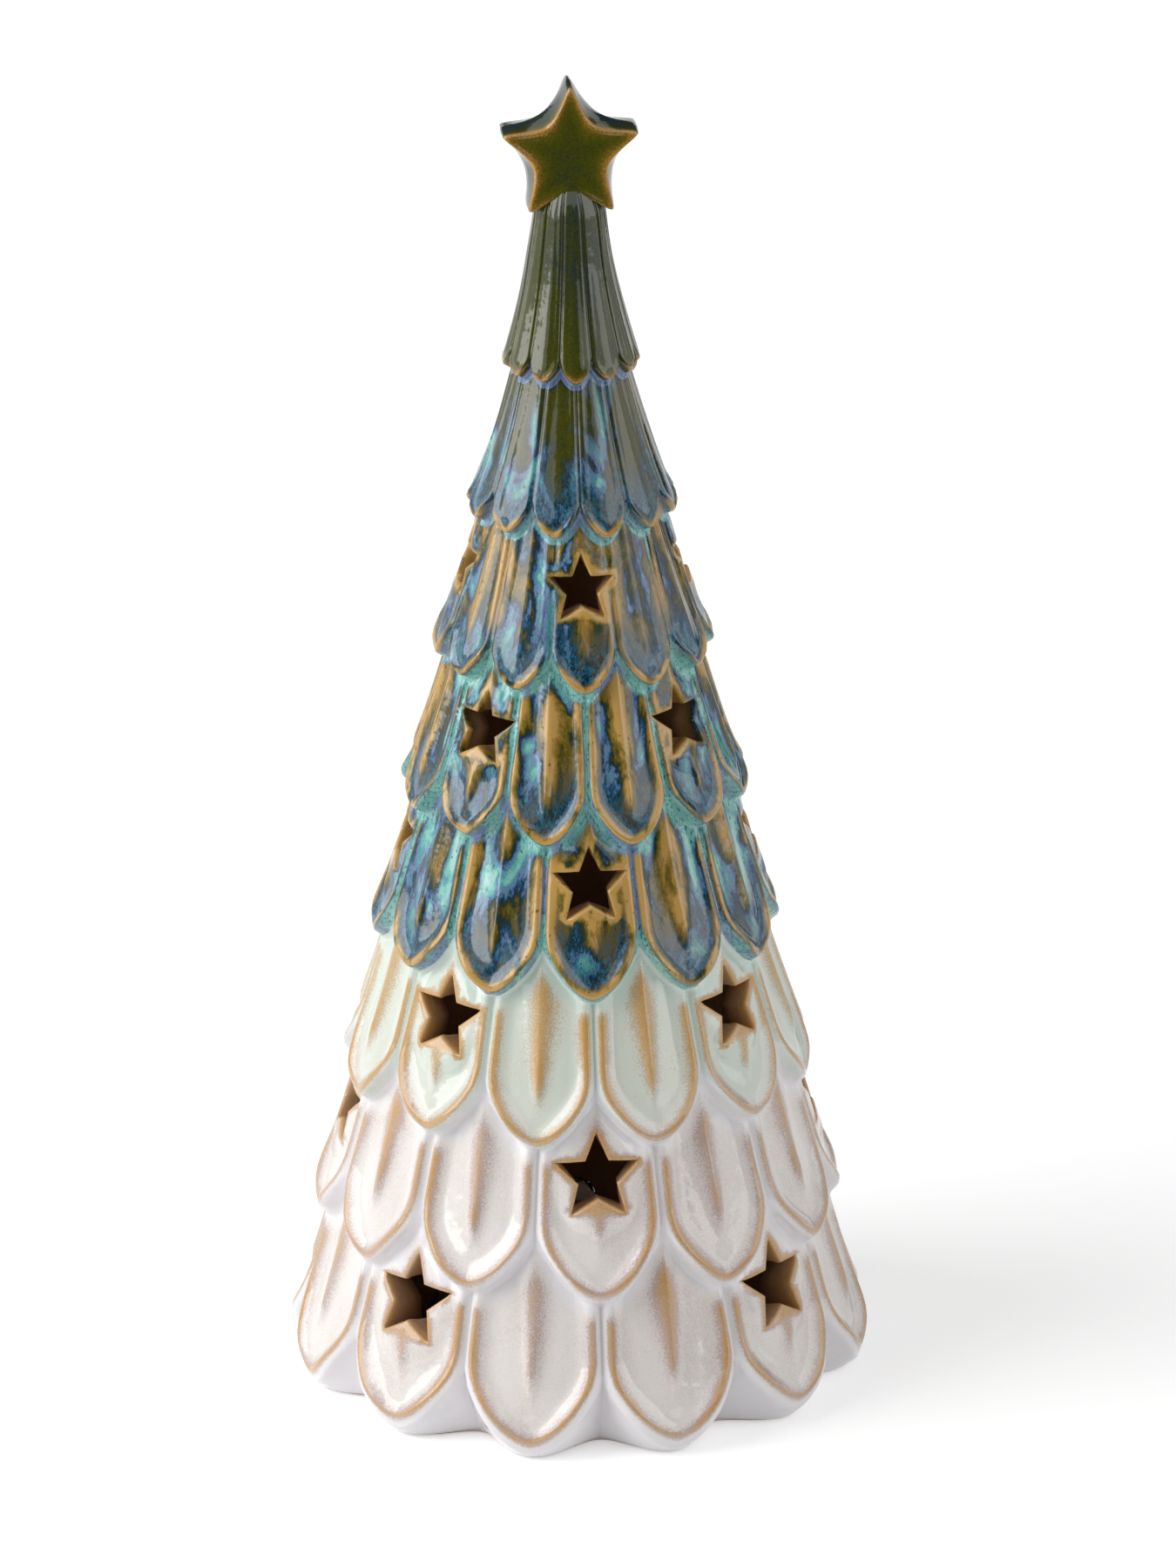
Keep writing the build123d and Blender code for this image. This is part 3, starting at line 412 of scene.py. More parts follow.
def outer_surface(tier, turn, height):
    """Radius of the casting in one row's stretch, from the row above down past its own edge."""
    own, ridge, bead = petal_surface(tier, turn, height)
    edge, stretch = scallop(tier, turn)
    size = blend(LEAST_LIP, 1.0, min(half_width(tier) / FULL_HALF, 1.0))
    over = smoothstep(-LIP_FOOT * size, LIP_ROUND * size, (height - edge) / stretch)
    if tier == TIERS:
        under = foot_surface(turn, height)
    else:
        under = petal_surface(tier + 1, turn, height)[0]
    return blend(under, own, over), ridge * over, 1 - over * (1 - bead)


def cavity_radius(height):
    """Inner radius of the hollow casting."""
    heights, radii = [FLOOR_TOP], [CAVITY_BASE]
    for tier in range(TIERS - 1, 0, -1):
        heights.append(tip_height(tier))
        radii.append(straight_crest(tier + 1, tip_height(tier)) - LOBE_DEPTH - VALLEY_DEPTH - WALL)
    return np.interp(height, heights + [tip_height(1) + CAVITY_CLOSE], radii + [0.0])


def ring(radius, turn, height):
    """Points with the angle 0 in front."""
    return np.stack([radius * np.sin(turn), -radius * np.cos(turn), height + 0 * turn], axis=-1)


def face_points(tier, turn, height):
    radius, ridge, bead = outer_surface(tier, turn, height)
    return ring(radius, turn, height), ridge, bead


def column_turns(per_half):
    """Angles of the grid's columns, closer together at the petals' middles and valleys."""
    share = np.arange(per_half) / per_half
    share = share - COLUMN_CROWDING * np.sin(2 * math.pi * share) / (2 * math.pi)
    return np.concatenate([(half + share) * HALF_PETAL for half in range(2 * PETALS)])


def row_heights(tier, turn):
    """Heights of the rows of one tier at each column, from under the row above to past its own edge."""
    edge, stretch = scallop(tier, turn)
    bottom = edge + LIP_REACH * stretch
    if tier == 1:
        top = NECK_HEIGHT + 0 * turn
    else:
        edge_above, stretch_above = scallop(tier - 1, turn)
        top = edge_above - LIP_REACH * stretch_above
    share = np.arange(BODY_ROWS) / BODY_ROWS
    share = share + ROW_CROWDING * np.sin(math.pi * share) * share
    body = [blend(top, bottom, part) for part in share]
    return body + [edge + step * stretch for step in LIP_STEPS]


class Casting:
    """Points, their marks and the faces between them, as the casting is put together."""

    def __init__(self):
        self.points, self.marks, self.faces = [], [], []

    def add(self, points, ridge=0.0, bead=0.0, inner=0.0):
        start = len(self.points)
        count = len(points)
        self.points.extend(points)
        marks = [np.broadcast_to(np.asarray(mark, dtype=float), count) for mark in (ridge, bead, inner)]
        self.marks.extend(zip(*marks))
        return np.arange(start, start + count)

    def join(self, upper, lower, skip=()):
        """Faces between two closed rings of the same count, the upper one seen above from outside."""
        count = len(upper)
        for here in range(count):
            if here not in skip:
                after = (here + 1) % count
                self.faces.append((lower[here], lower[after], upper[after], upper[here]))

    def close(self, point, loop, inner=0.0):
        """A fan of triangles from a new point to a closed ring."""
        centre = self.add([point], 0.0, 0.0, inner)[0]
        self.faces.extend((centre, here, after) for here, after in zip(loop, np.roll(loop, -1)))

    def join_rows(self, grid, gone):
        """Faces between a grid's rows, apart from those that windows take."""
        for row in range(len(grid.numbers) - 1):
            skip = {column for gone_row, column in gone if gone_row == row}
            self.join(grid.numbers[row], grid.numbers[row + 1], skip)

    def stitch(self, upper, lower, upper_turn, lower_turn):
        """Triangles between two closed rings of any counts, whose angles run upwards through one turn."""
        upper_turn = np.append(upper_turn, upper_turn[0] + 2 * math.pi)
        lower_turn = np.append(lower_turn, lower_turn[0] + 2 * math.pi)
        above, below = 0, 0
        while above < len(upper) or below < len(lower):
            here, there = upper[above % len(upper)], lower[below % len(lower)]
            more_above, more_below = above < len(upper), below < len(lower)
            if not more_below or (more_above and upper_turn[above + 1] <= lower_turn[below + 1]):
                above += 1
                self.faces.append((here, there, upper[above % len(upper)]))
            else:
                below += 1
                self.faces.append((here, there, lower[below % len(lower)]))


def star_points(radius, waist, per_edge):
    """Evenly spaced points along the edges of an upright star, the top point first."""
    corner = np.arange(2 * STAR_POINTS)
    angles = math.pi / 2 + corner * math.pi / STAR_POINTS
    radii = np.where(corner % 2, radius * waist, radius)
    corners = np.stack([radii * np.cos(angles), radii * np.sin(angles)], axis=-1)
    share = (np.arange(per_edge) / per_edge)[:, None]
    following = np.roll(corners, -1, axis=0)
    return np.concatenate([blend(here, after, share) for here, after in zip(corners, following)])


def star_outline(radius):
    """A window's star, and which way is out at each of its points."""
    outline = star_points(radius, WINDOW_WAIST, WINDOW_EDGE_POINTS)
    along = np.roll(outline, -1, axis=0) - outline
    out = np.stack([along[:, 1], -along[:, 0]], axis=-1) / np.linalg.norm(along, axis=1)[:, None]
    both = out + np.roll(out, 1, axis=0)
    return outline, both * np.minimum(2 / (both**2).sum(axis=1), SHARPEST_CORNER)[:, None]


class Window:
    """One star window: its place on its row, and its outline in its own leaning plane."""

    def __init__(self, tier, turn):
        self.tier, self.turn = tier, turn
        self.height, self.radius = window_height(tier), window_radius(tier)
        self.out = float(outer_surface(tier, np.array([turn]), np.array([self.height]))[0][0])
        self.normal = np.array(
            [math.sin(turn) * WINDOW_SLANT, -math.cos(turn) * WINDOW_SLANT, math.sin(WINDOW_LEAN)]
        )
        self.outline, self.outwards = star_outline(self.radius)

    def flat(self, grid, places):
        """Points of a grid, as places across and up in the window's plane."""
        across = [signed_turn(grid.turn[column], self.turn) * self.out for _, column in places]
        up = [(grid.heights[row, column] - self.height) / WINDOW_SLANT for row, column in places]
        return np.stack([across, up], axis=-1)

    def on_face(self, places):
        """Places in the window's plane, as points on the row's face with their marks."""
        turn = self.turn + places[:, 0] / self.out
        return face_points(self.tier, turn, self.height + places[:, 1] * WINDOW_SLANT)


def grid_numbers(grid, places):
    return np.array([grid.numbers[row, column] for row, column in places], dtype=int)


def cell_corners(cell, count):
    row, column = cell
    after = (column + 1) % count
    return [(row, column), (row, after), (row + 1, after), (row + 1, column)]


def window_cells(grid, rows, window, centre_height, out):
    """The faces that a star window takes from a grid's first rows, and the loop of points around them."""
    count = len(grid.turn)
    beside = signed_turn(grid.turn, window.turn) * out
    columns = [column for column in range(count) if abs(beside[column]) < 2 * window.radius]
    cells = set()
    for row in range(rows):
        for column in columns:
            after = (column + 1) % count
            side = (beside[column] + beside[after]) / 2
            rise = grid.heights[row : row + 2][:, [column, after]].mean() - centre_height
            star = BLOCK_SHARE + BLOCK_POINTS * math.sin(STAR_POINTS * math.atan2(rise, side))
            if math.hypot(side, rise) < window.radius * star + WINDOW_MARGIN:
                cells.add((row, column))
    up = 1 if grid.heights[-1, columns[0]] > grid.heights[0, columns[0]] else -1
    return cells, trace_loop(cells, up, count)


def trace_loop(cells, up, count):
    """The outline of a patch of grid faces, run through with the patch on its left."""
    edges = set()
    for cell in cells:
        corners = cell_corners(cell, count)[::up]
        edges |= set(zip(corners, corners[1:] + corners[:1]))
    following = {here: there for here, there in edges if (there, here) not in edges}
    loop = [min(following)]
    while following[loop[-1]] != loop[0]:
        loop.append(following[loop[-1]])
    return loop


def inside_loop(points, loop):
    """Whether points lie inside a closed loop, both in the plane."""
    x, y = points[:, :1], points[:, 1:]
    here, there = loop, np.roll(loop, -1, axis=0)
    spans = (here[:, 1] > y) != (there[:, 1] > y)
    rise = np.where(there[:, 1] == here[:, 1], 1.0, there[:, 1] - here[:, 1])
    cross = here[:, 0] + (y - here[:, 1]) / rise * (there[:, 0] - here[:, 0])
    return (spans & (x < cross)).sum(axis=1) % 2 == 1


def fill_between(outer, hole, spare):
    """Triangles between two loops in the plane, over the loops' points and the spare ones between them."""
    points = np.concatenate([outer, hole, spare])
    edges = [(here, (here + 1) % len(outer)) for here in range(len(outer))]
    edges += [(len(outer) + here, len(outer) + (here + 1) % len(hole)) for here in range(len(hole))]
    flat = [Vector(point) for point in points]
    _, _, faces, sources, _, _ = delaunay_2d_cdt(flat, edges, [], 0, SAME_POINT)
    faces = np.array([[sources[corner][0] for corner in face] for face in faces])
    middles = points[faces].mean(axis=1)
    faces = faces[inside_loop(middles, outer) & ~inside_loop(middles, hole)]
    first, second = points[faces[:, 1]] - points[faces[:, 0]], points[faces[:, 2]] - points[faces[:, 0]]
    double_area = first[:, 0] * second[:, 1] - first[:, 1] * second[:, 0]
    faces[double_area < 0] = faces[double_area < 0][:, ::-1]
    return faces[np.abs(double_area) > TINY_AREA]


def add_window_rim(casting, window, grid, cells, loop):
    """The face round a window and its rounded edge. Gives the last ring."""
    outline, outwards = window.outline, window.outwards
    rim_edge = outline + outwards * RIM_ROUND
    between = {corner for cell in cells for corner in cell_corners(cell, len(grid.turn))}
    between = sorted(between - set(loop))
    clear = ~inside_loop(window.flat(grid, between), outline + outwards * 2 * RIM_ROUND)
    spare = [place for place, free in zip(between, clear) if free]
    points, _, bead = window.on_face(rim_edge)
    last = casting.add(points, 1.0, RIM_BEAD * bead)
    numbers = np.concatenate([grid_numbers(grid, loop), last, grid_numbers(grid, spare)])
    faces = fill_between(window.flat(grid, loop), rim_edge, window.flat(grid, spare))
    casting.faces.extend(tuple(numbers[face]) for face in faces)
    for share in RIM_RINGS:
        points, _, bead = window.on_face(outline + outwards * RIM_ROUND * share)
        sink = RIM_ROUND * (1 - math.sqrt(1 - (1 - share) ** 2))
        made = casting.add(points - window.normal * sink, 1.0, RIM_BEAD * bead)
        casting.join(made, last)
        last = made
    return last


def add_window_wall(casting, window, last):
    """A window's wall, from its edge to a rounder star on the hollow. Gives the last ring."""
    outline = window.outline
    spread = np.hypot(outline[:, 0], outline[:, 1])
    end_spread = blend(spread.mean(), spread, WALL_STAR) - WALL_TAPER
    rounded = outline * (end_spread / spread)[:, None]
    for depth in WALL_RINGS:
        share = float(smoothstep(0.0, WALL_ROUNDED, depth))
        points, _, _ = window.on_face(blend(outline, rounded, share))
        reach = np.full(len(points), WALL)
        for _ in range(REACH_PASSES):
            at = points - window.normal * reach[:, None]
            reach += (np.hypot(at[:, 0], at[:, 1]) - cavity_radius(at[:, 2])) / WINDOW_SLANT
        sunk = blend(RIM_ROUND, reach, depth)
        ridge = 1.0 - WALL_RIDGE_LOSS * depth
        clay = blend(WALL_CLAY, 1.0, depth)
        made = casting.add(points - window.normal * sunk[:, None], ridge, 0.0, clay)
        casting.join(made, last)
        last = made
    return last


def add_window_end(casting, window, inner, loop, end):
    """The hollow's face from its grid's loop to the end of a window's wall."""
    points = np.array([casting.points[index] for index in end])
    near_turn = signed_turn(np.arctan2(points[:, 0], -points[:, 1]), window.turn)
    near = np.stack([near_turn * cavity_radius(points[:, 2]), points[:, 2]], axis=-1)
    far_turn = np.array([signed_turn(inner.turn[column], window.turn) for _, column in loop])
    far_height = np.array([inner.heights[row, column] for row, column in loop])
    far = np.stack([far_turn * cavity_radius(far_height), far_height], axis=-1)
    numbers = np.concatenate([grid_numbers(inner, loop), end])
    for face in fill_between(far, near, np.zeros((0, 2))):
        casting.faces.append(tuple(numbers[face[::-1]]))


def add_windows(casting, tier, grid, inner):
    """A row's star windows, with the faces that they take from the row's grid and the inner one."""
    gone, inner_gone = set(), set()
    if tier < FIRST_WINDOW_TIER:
        return gone, inner_gone
    for number in range(WINDOWS):
        window = Window(tier, first_window(tier) + number * WINDOW_TURN)
        cells, loop = window_cells(grid, BODY_ROWS, window, window.height, window.out)
        inner_height = window.height - WALL * math.sin(WINDOW_LEAN)
        inner_out = float(cavity_radius(inner_height))
        inner_cells, inner_loop = window_cells(inner, INNER_ROWS, window, inner_height, inner_out)
        rim = add_window_rim(casting, window, grid, cells, loop)
        end = add_window_wall(casting, window, rim)
        add_window_end(casting, window, inner, inner_loop, end)
        gone |= cells
        inner_gone |= inner_cells
    return gone, inner_gone


def add_neck_cap(casting, neck, turn):
    """Rounded top of the neck, inside the star."""
    last = neck
    radius = np.hypot(*np.array([casting.points[index] for index in neck]).T[:2])
    for rise, share in NECK_CAP_RINGS:
        made = casting.add(ring(radius * share, turn, NECK_HEIGHT + rise))
        casting.join(made, last)
        last = made
    casting.close((0.0, 0.0, NECK_HEIGHT + NECK_CAP_TOP), last)


def add_rows(casting):
    """The rows of petals as grids, with the neck's cap and the faces from each grid to the next."""
    fine, coarse = column_turns(FINE), column_turns(FINE // 2)
    grids = []
    for tier in range(1, TIERS + 1):
        turn = coarse if tier <= COARSE_TIERS else fine
        heights = np.array(row_heights(tier, turn))
        numbers = np.array([casting.add(*face_points(tier, turn, height)) for height in heights])
        if tier == 1:
            add_neck_cap(casting, numbers[0], turn)
        elif len(grids[-1].turn) == len(turn):
            casting.join(grids[-1].numbers[-1], numbers[0])
        else:
            casting.stitch(grids[-1].numbers[-1], numbers[0], grids[-1].turn, turn)
        grids.append(Grid(numbers, turn, heights))
    return grids


def add_foot(casting, lowest):
    """White foot under the lowest petals, and its rounded edge on the floor. Gives the last ring."""
    turn, last = lowest.turn, lowest.numbers[-1]
    for share in FOOT_SHARES:
        height = lowest.heights[-1] * share
        made = casting.add(ring(foot_surface(turn, height), turn, height), 0.0, 1.0)
        casting.join(last, made)
        last = made
    for height, inset, bare in FOOT_EDGE_RINGS:
        radius = foot_surface(turn, 0 * turn) - inset
        made = casting.add(ring(radius, turn, height), 0.0, 0.0, bare)
        casting.join(last, made)
        last = made
    return last


def add_inside(casting, foot_edge, foot_turn):
    """The recess and socket under the foot, and the hollow above them as a grid."""
    turn = np.arange(INNER_COLUMNS) * 2 * math.pi / INNER_COLUMNS
    plan = (
        (FOOT_INNER + FOOT_CHAMFER, 0.0),
        (FOOT_INNER, FOOT_CHAMFER),
        (FOOT_INNER, FOOT_RECESS),
        (SOCKET_RADIUS + SOCKET_CHAMFER, FOOT_RECESS),
        (SOCKET_RADIUS, FOOT_RECESS + SOCKET_CHAMFER),
        (SOCKET_RADIUS, FLOOR_TOP - SOCKET_CHAMFER),
        (SOCKET_RADIUS + SOCKET_CHAMFER, FLOOR_TOP),
        (CAVITY_BASE - CORNER_INSET, FLOOR_TOP),
    )
    rings = [casting.add(ring(radius, turn, height), 0.0, 0.0, 1.0) for radius, height in plan]
    top = tip_height(1) + CAVITY_CLOSE
    levels = np.linspace(FLOOR_TOP + INNER_ROWS_RISE, top - INNER_ROWS_STOP, INNER_ROWS)
    levels = np.concatenate([[FLOOR_TOP + CORNER_RISE], levels])
    numbers = []
    for height in levels:
        numbers.append(casting.add(ring(float(cavity_radius(height)), turn, height), 0.0, 0.0, 1.0))
    casting.stitch(foot_edge, rings[0], foot_turn, turn)
    for upper, lower in zip(rings, rings[1:] + numbers[:1]):
        casting.join(upper, lower)
    casting.close((0.0, 0.0, top), numbers[-1][::-1], 1.0)
    return Grid(np.array(numbers), turn, np.repeat(levels[:, None], INNER_COLUMNS, axis=1))


def finial_outline(waist, scale):
    """Rounded outline of the star on top, as points to the right and up from its centre."""
    share = np.arange(FINIAL_EDGE_POINTS) / FINIAL_EDGE_POINTS
    hollow = np.tile(1 - FINIAL_EDGE_HOLLOW * np.sin(math.pi * share), 2 * STAR_POINTS)
    outline = star_points(1.0, waist, FINIAL_EDGE_POINTS) * hollow[:, None]
    for _ in range(FINIAL_SMOOTHING):
        outline = (np.roll(outline, 1, axis=0) + 2 * outline + np.roll(outline, -1, axis=0)) / 4
    return outline * scale * (TREE_HEIGHT - STAR_CENTRE) / outline[:, 1].max()


def add_finial(casting):
    """The star on top: a flat face with a raised edge on each side, and thick sides that swell."""
    face = finial_outline(FINIAL_FACE_WAIST, FINIAL_FACE_SCALE)
    body = finial_outline(FINIAL_BODY_WAIST, 1.0)
    front = [(face * scale, *rest) for scale, *rest in FINIAL_FACE_RINGS]
    front += [(blend(face, body, share), *rest) for share, *rest in FINIAL_SIDE_RINGS]
    back = [(outline, -deep, *marks) for outline, deep, *marks in reversed(front[:-1])]
    rings = []
    for outline, deep, ridge, bead in front + back:
        points = [(x, -deep * FINIAL_HALF, STAR_CENTRE + z) for x, z in outline]
        from_notch = np.arctan2(outline[:, 0], -outline[:, 1])
        ridge *= 1 - NOTCH_FADE * bump(from_notch, NOTCH_REACH)
        rings.append(casting.add(points, ridge, bead))
    for upper, lower in zip(rings, rings[1:]):
        casting.join(upper, lower)
    face_depth = FINIAL_FACE_RINGS[0][1] * FINIAL_HALF
    casting.close((0.0, -face_depth, STAR_CENTRE), rings[0])
    casting.close((0.0, face_depth, STAR_CENTRE), rings[-1][::-1])


def build_casting():
    """The whole casting: one closed skin down the outside and up the inside, and the star on top."""
    casting = Casting()
    grids = add_rows(casting)
    inner = add_inside(casting, add_foot(casting, grids[-1]), grids[-1].turn)
    inner_gone = set()
    for tier, grid in enumerate(grids, start=1):
        gone, inner_cells = add_windows(casting, tier, grid, inner)
        casting.join_rows(grid, gone)
        inner_gone |= inner_cells
    casting.join_rows(inner, inner_gone)
    add_finial(casting)
    return casting


def petal_marks(points):
    """For each point its share down its row, its row's number with that share, and its petal's number."""
    turn = np.arctan2(points[:, 0], -points[:, 1])
    run = np.ones(len(points))
    stage = np.full(len(points), TIERS + 1.0)
    petal = np.zeros(len(points))
    for tier in range(TIERS, 0, -1):
        edge, _ = scallop(tier, turn)
        above = points[:, 2] >= edge - EDGE_SLACK
        length = top_height(tier) - tip_height(tier)
        run[above] = 1 - np.clip((points[above, 2] - edge[above]) / length, 0.0, 1.0)
        stage[above] = tier + run[above]
        petal[above] = petal_number(tier, turn[above])
    return {"run": run, "stage": stage, "petal": petal}


def uneven(points, inner):
    """The points moved in and out a little, as the thick glaze and the hand-finished casting lie."""
    waves = np.array([noise(Vector(point * GLAZE_WAVE)) for point in points])
    from_floor = smoothstep(LEVEL_BELOW, LEVEL_ABOVE, points[:, 2])
    from_neck = 1 - smoothstep(NECK_HEIGHT - LEVEL_ABOVE, NECK_HEIGHT, points[:, 2])
    out = GLAZE_UNEVEN * waves * (from_floor * from_neck) * (1 - inner)
    swell = 1 + out / np.maximum(np.hypot(points[:, 0], points[:, 1]), LEAST_RADIUS)
    return points * np.stack([swell, swell, np.ones(len(points))], axis=-1)


def make_tree():
    """The casting's mesh, with the marks that its glaze follows."""
    casting = build_casting()
    used = np.array(sorted({index for face in casting.faces for index in face}))
    renumber = np.zeros(len(casting.points), dtype=int)
    renumber[used] = np.arange(len(used))
    points = np.array(casting.points)[used]
    ridge, bead, inner = np.array(casting.marks)[used].T
    marks = {"ridge": ridge, "bead": bead, "inner": inner, **petal_marks(points)}
    points = uneven(points, inner)
    mesh = bpy.data.meshes.new("tree_glaze")
    mesh.from_pydata((points * MM).tolist(), [], [renumber[list(face)].tolist() for face in casting.faces])
    for name, values in marks.items():
        mesh.attributes.new(name, "FLOAT", "POINT").data.foreach_set("value", values.astype(np.float32))
    mesh.shade_smooth()
    return in_scene("tree_glaze", mesh)


def in_scene(name, data):
    """A new object in the scene."""
    made = bpy.data.objects.new(name, data)
    bpy.context.scene.collection.objects.link(made)
    return made


def colour(red, green, blue):
    """A colour from its screen values, 0 to 255, as the shader's linear one."""
    linear = [((c / 255 + 0.055) / 1.055) ** 2.4 if c > 10 else c / 255 / 12.92 for c in (red, green, blue)]
    return (*linear, 1.0)


# Noises of the glaze: scale for each metre, detail, squeeze along the height, shift, roughness, distortion
FLOW = (140.0, 4.0, 0.24, 0.0, 0.55, 0.7)
PATCH = (46.0, 3.0, 0.5, 4.4, 0.5, 0.4)
GRAIN = (1400.0, 4.0, 0.4, 1.3, 0.65, 1.2)
STIPPLE = (2600.0, 2.0)
SPECKS = (1100.0, 2.0, 0.6, 5.2)
WAVES = (260.0, 2.0)

# Thickness of the coloured glaze and of the calmer olive and pale ones, with what adds to it
THICKNESS = {
    "mean": 0.42, "runs": 2.3, "patches": 0.8, "petal": 0.14, "lower_rows": 0.12, "grain": 0.4, "ridge": -0.5
}
THINNEST = 0.24
THIN_ROUNDING = 0.16
CALM = {"mean": 0.6, "stipple": 0.55, "runs": 0.35, "patches": 0.5, "bead": 0.35, "ridge": -0.52}

# Where the glaze changes, as a row's number and the share down it, with what shifts that
PLACE_SHIFT = {"runs": 0.5}
OLIVE_SHIFT = {"patches": 2.0, "runs": 1.5}
CREAM_TO_CELADON = (7.2, 6.7)
CELADON_TO_BLUE = (6.14, 5.98)
BLUE_TO_OLIVE = (3.1, 2.3)
OLIVE_TO_POOLS = (2.1, 2.5)
LILAC_TO_GREEN = (2.6, 3.6)
LOWER_ROWS = (3.6, 5.6)

# Ranges of marks and noises over which the glaze changes, and how far it does
GREEN_FLOW = (0.38, 0.52)
DRIP_GRAIN = (0.36, 0.5)
DRIP_SHIFT = {"runs": 1.3}
DRIP_EDGE = (0.14, 0.72)
OLIVE_DRIP = (0.7, 1.0, 0.0, 0.75)
POOL_RUN = (0.6, 0.95)
POOL_RIDGE = (0.7, 0.2)
POOL_MOTTLE = (0.42, 0.6)
POOL_SHARE = 0.8
SPECK_EDGE = (0.66, 0.72)
SPECK_SHARE = 0.7
CLAY_PATCH = (0.3, 0.7)
CLAY_EDGE = (0.05, 0.75)
GLAZE_ROUGHNESS = (0.1, 0.9, 0.08, 0.75)
GLAZE_IOR = 1.6
WAVE_HEIGHT = 0.7
GRAIN_HEIGHT = 0.06
WAVE_DISTANCE = 0.0003
WAVE_STRENGTH = 0.6

# Glaze colours, the first four by thickness from 0 to 1 and screen values
OLIVE = (
    (0.0, 190, 140, 64), (0.14, 160, 118, 46), (0.28, 108, 88, 22), (0.42, 82, 80, 12), (0.64, 60, 64, 8),
    (0.8, 26, 48, 62), (1.0, 70, 92, 124),
)
BLUE = (
    (0.0, 194, 154, 84), (0.12, 154, 122, 54), (0.24, 106, 92, 30), (0.34, 56, 58, 20), (0.42, 16, 48, 64),
    (0.5, 46, 92, 128), (0.57, 112, 130, 168), (0.64, 70, 142, 156), (0.74, 110, 184, 174),
    (0.88, 150, 206, 194), (1.0, 172, 200, 206),
)
CELADON = (
    (0.0, 198, 152, 92), (0.2, 204, 168, 116), (0.34, 204, 192, 170), (0.5, 220, 224, 212),
    (0.8, 206, 224, 212), (1.0, 226, 234, 228),
)
CREAM = (
    (0.0, 196, 150, 94), (0.14, 204, 166, 120), (0.3, 198, 178, 170), (0.44, 222, 212, 208),
    (0.62, 236, 230, 224), (0.85, 240, 237, 240),
)
LILAC = colour(132, 150, 186)
TURQUOISE = colour(136, 200, 188)
TEAL = colour(58, 116, 134)
DEEP_BLUE = colour(8, 32, 54)
DEEP_TEAL = colour(42, 112, 138)
SPECK = colour(20, 36, 44)
CLAY = colour(154, 114, 76)
PALE_CLAY = colour(176, 136, 96)

# Finishes by material slot: base, shade, roughness, metal, and the speckles' scale and depth
SPECKLE_SCALE = 400.0
SPECKLE_DEPTH = 0.00002
SPECKLE_DETAIL = 4.0
SPECKLE_SHARE = 0.35
SPECKLE_RANGE = (0.2, 0.8)
ROUGHNESS_SPREAD = 0.15
FINISHES = {
    "white_plastic": (colour(236, 234, 229), colour(222, 220, 214), 0.42),
    "seal_rubber": (colour(44, 44, 46), colour(62, 62, 64), 0.75, 0.0, 900.0, 0.00004),
    "screw_steel": (colour(178, 178, 180), colour(128, 128, 132), 0.3, 1.0, 1200.0),
    "board": (colour(28, 96, 56), colour(18, 74, 44), 0.35, 0.0, 700.0),
    "chip": (colour(30, 30, 32), colour(46, 46, 48), 0.55, 0.0, 1500.0),
    "switch_metal": (colour(186, 186, 184), colour(150, 150, 150), 0.34, 1.0, 900.0),
    "knob": (colour(34, 34, 36), colour(52, 52, 54), 0.5, 0.0, 1200.0),
    "contact_metal": (colour(206, 190, 150), colour(176, 160, 120), 0.28, 1.0, 900.0),
    "emitter": (colour(242, 176, 60), colour(226, 140, 36), 0.3, 0.0, 1500.0),
    "red_insulation": (colour(178, 30, 28), colour(150, 22, 22), 0.45, 0.0, 1200.0),
    "black_insulation": (colour(28, 28, 30), colour(46, 46, 48), 0.45, 0.0, 1200.0),
}
LENS = ((1.0, 0.99, 0.97, 1.0), (0.96, 0.95, 0.92, 1.0), 0.04, 0.0, 300.0, 0.000005)
LENS_IOR = 1.53
PAPER = (colour(250, 250, 250), colour(246, 246, 246), 0.9, 0.0, 40.0, 0.0)
CARD = (colour(40, 40, 40), colour(52, 52, 52), 0.9, 0.0, 40.0, 0.0)
WHITE = (1.0, 1.0, 1.0, 1.0)

# Battery sleeve, with its edges in metres from the cell's middle
CELL_SLEEVE_EDGE = (0.0205, 0.0202)
CELL_BAND_EDGE = (0.0092, 0.009)
CELL_ROUGHNESS = 0.32
CELL_METAL = colour(178, 180, 182)
CELL_DARK = colour(38, 44, 50)
CELL_GOLD = colour(196, 148, 60)


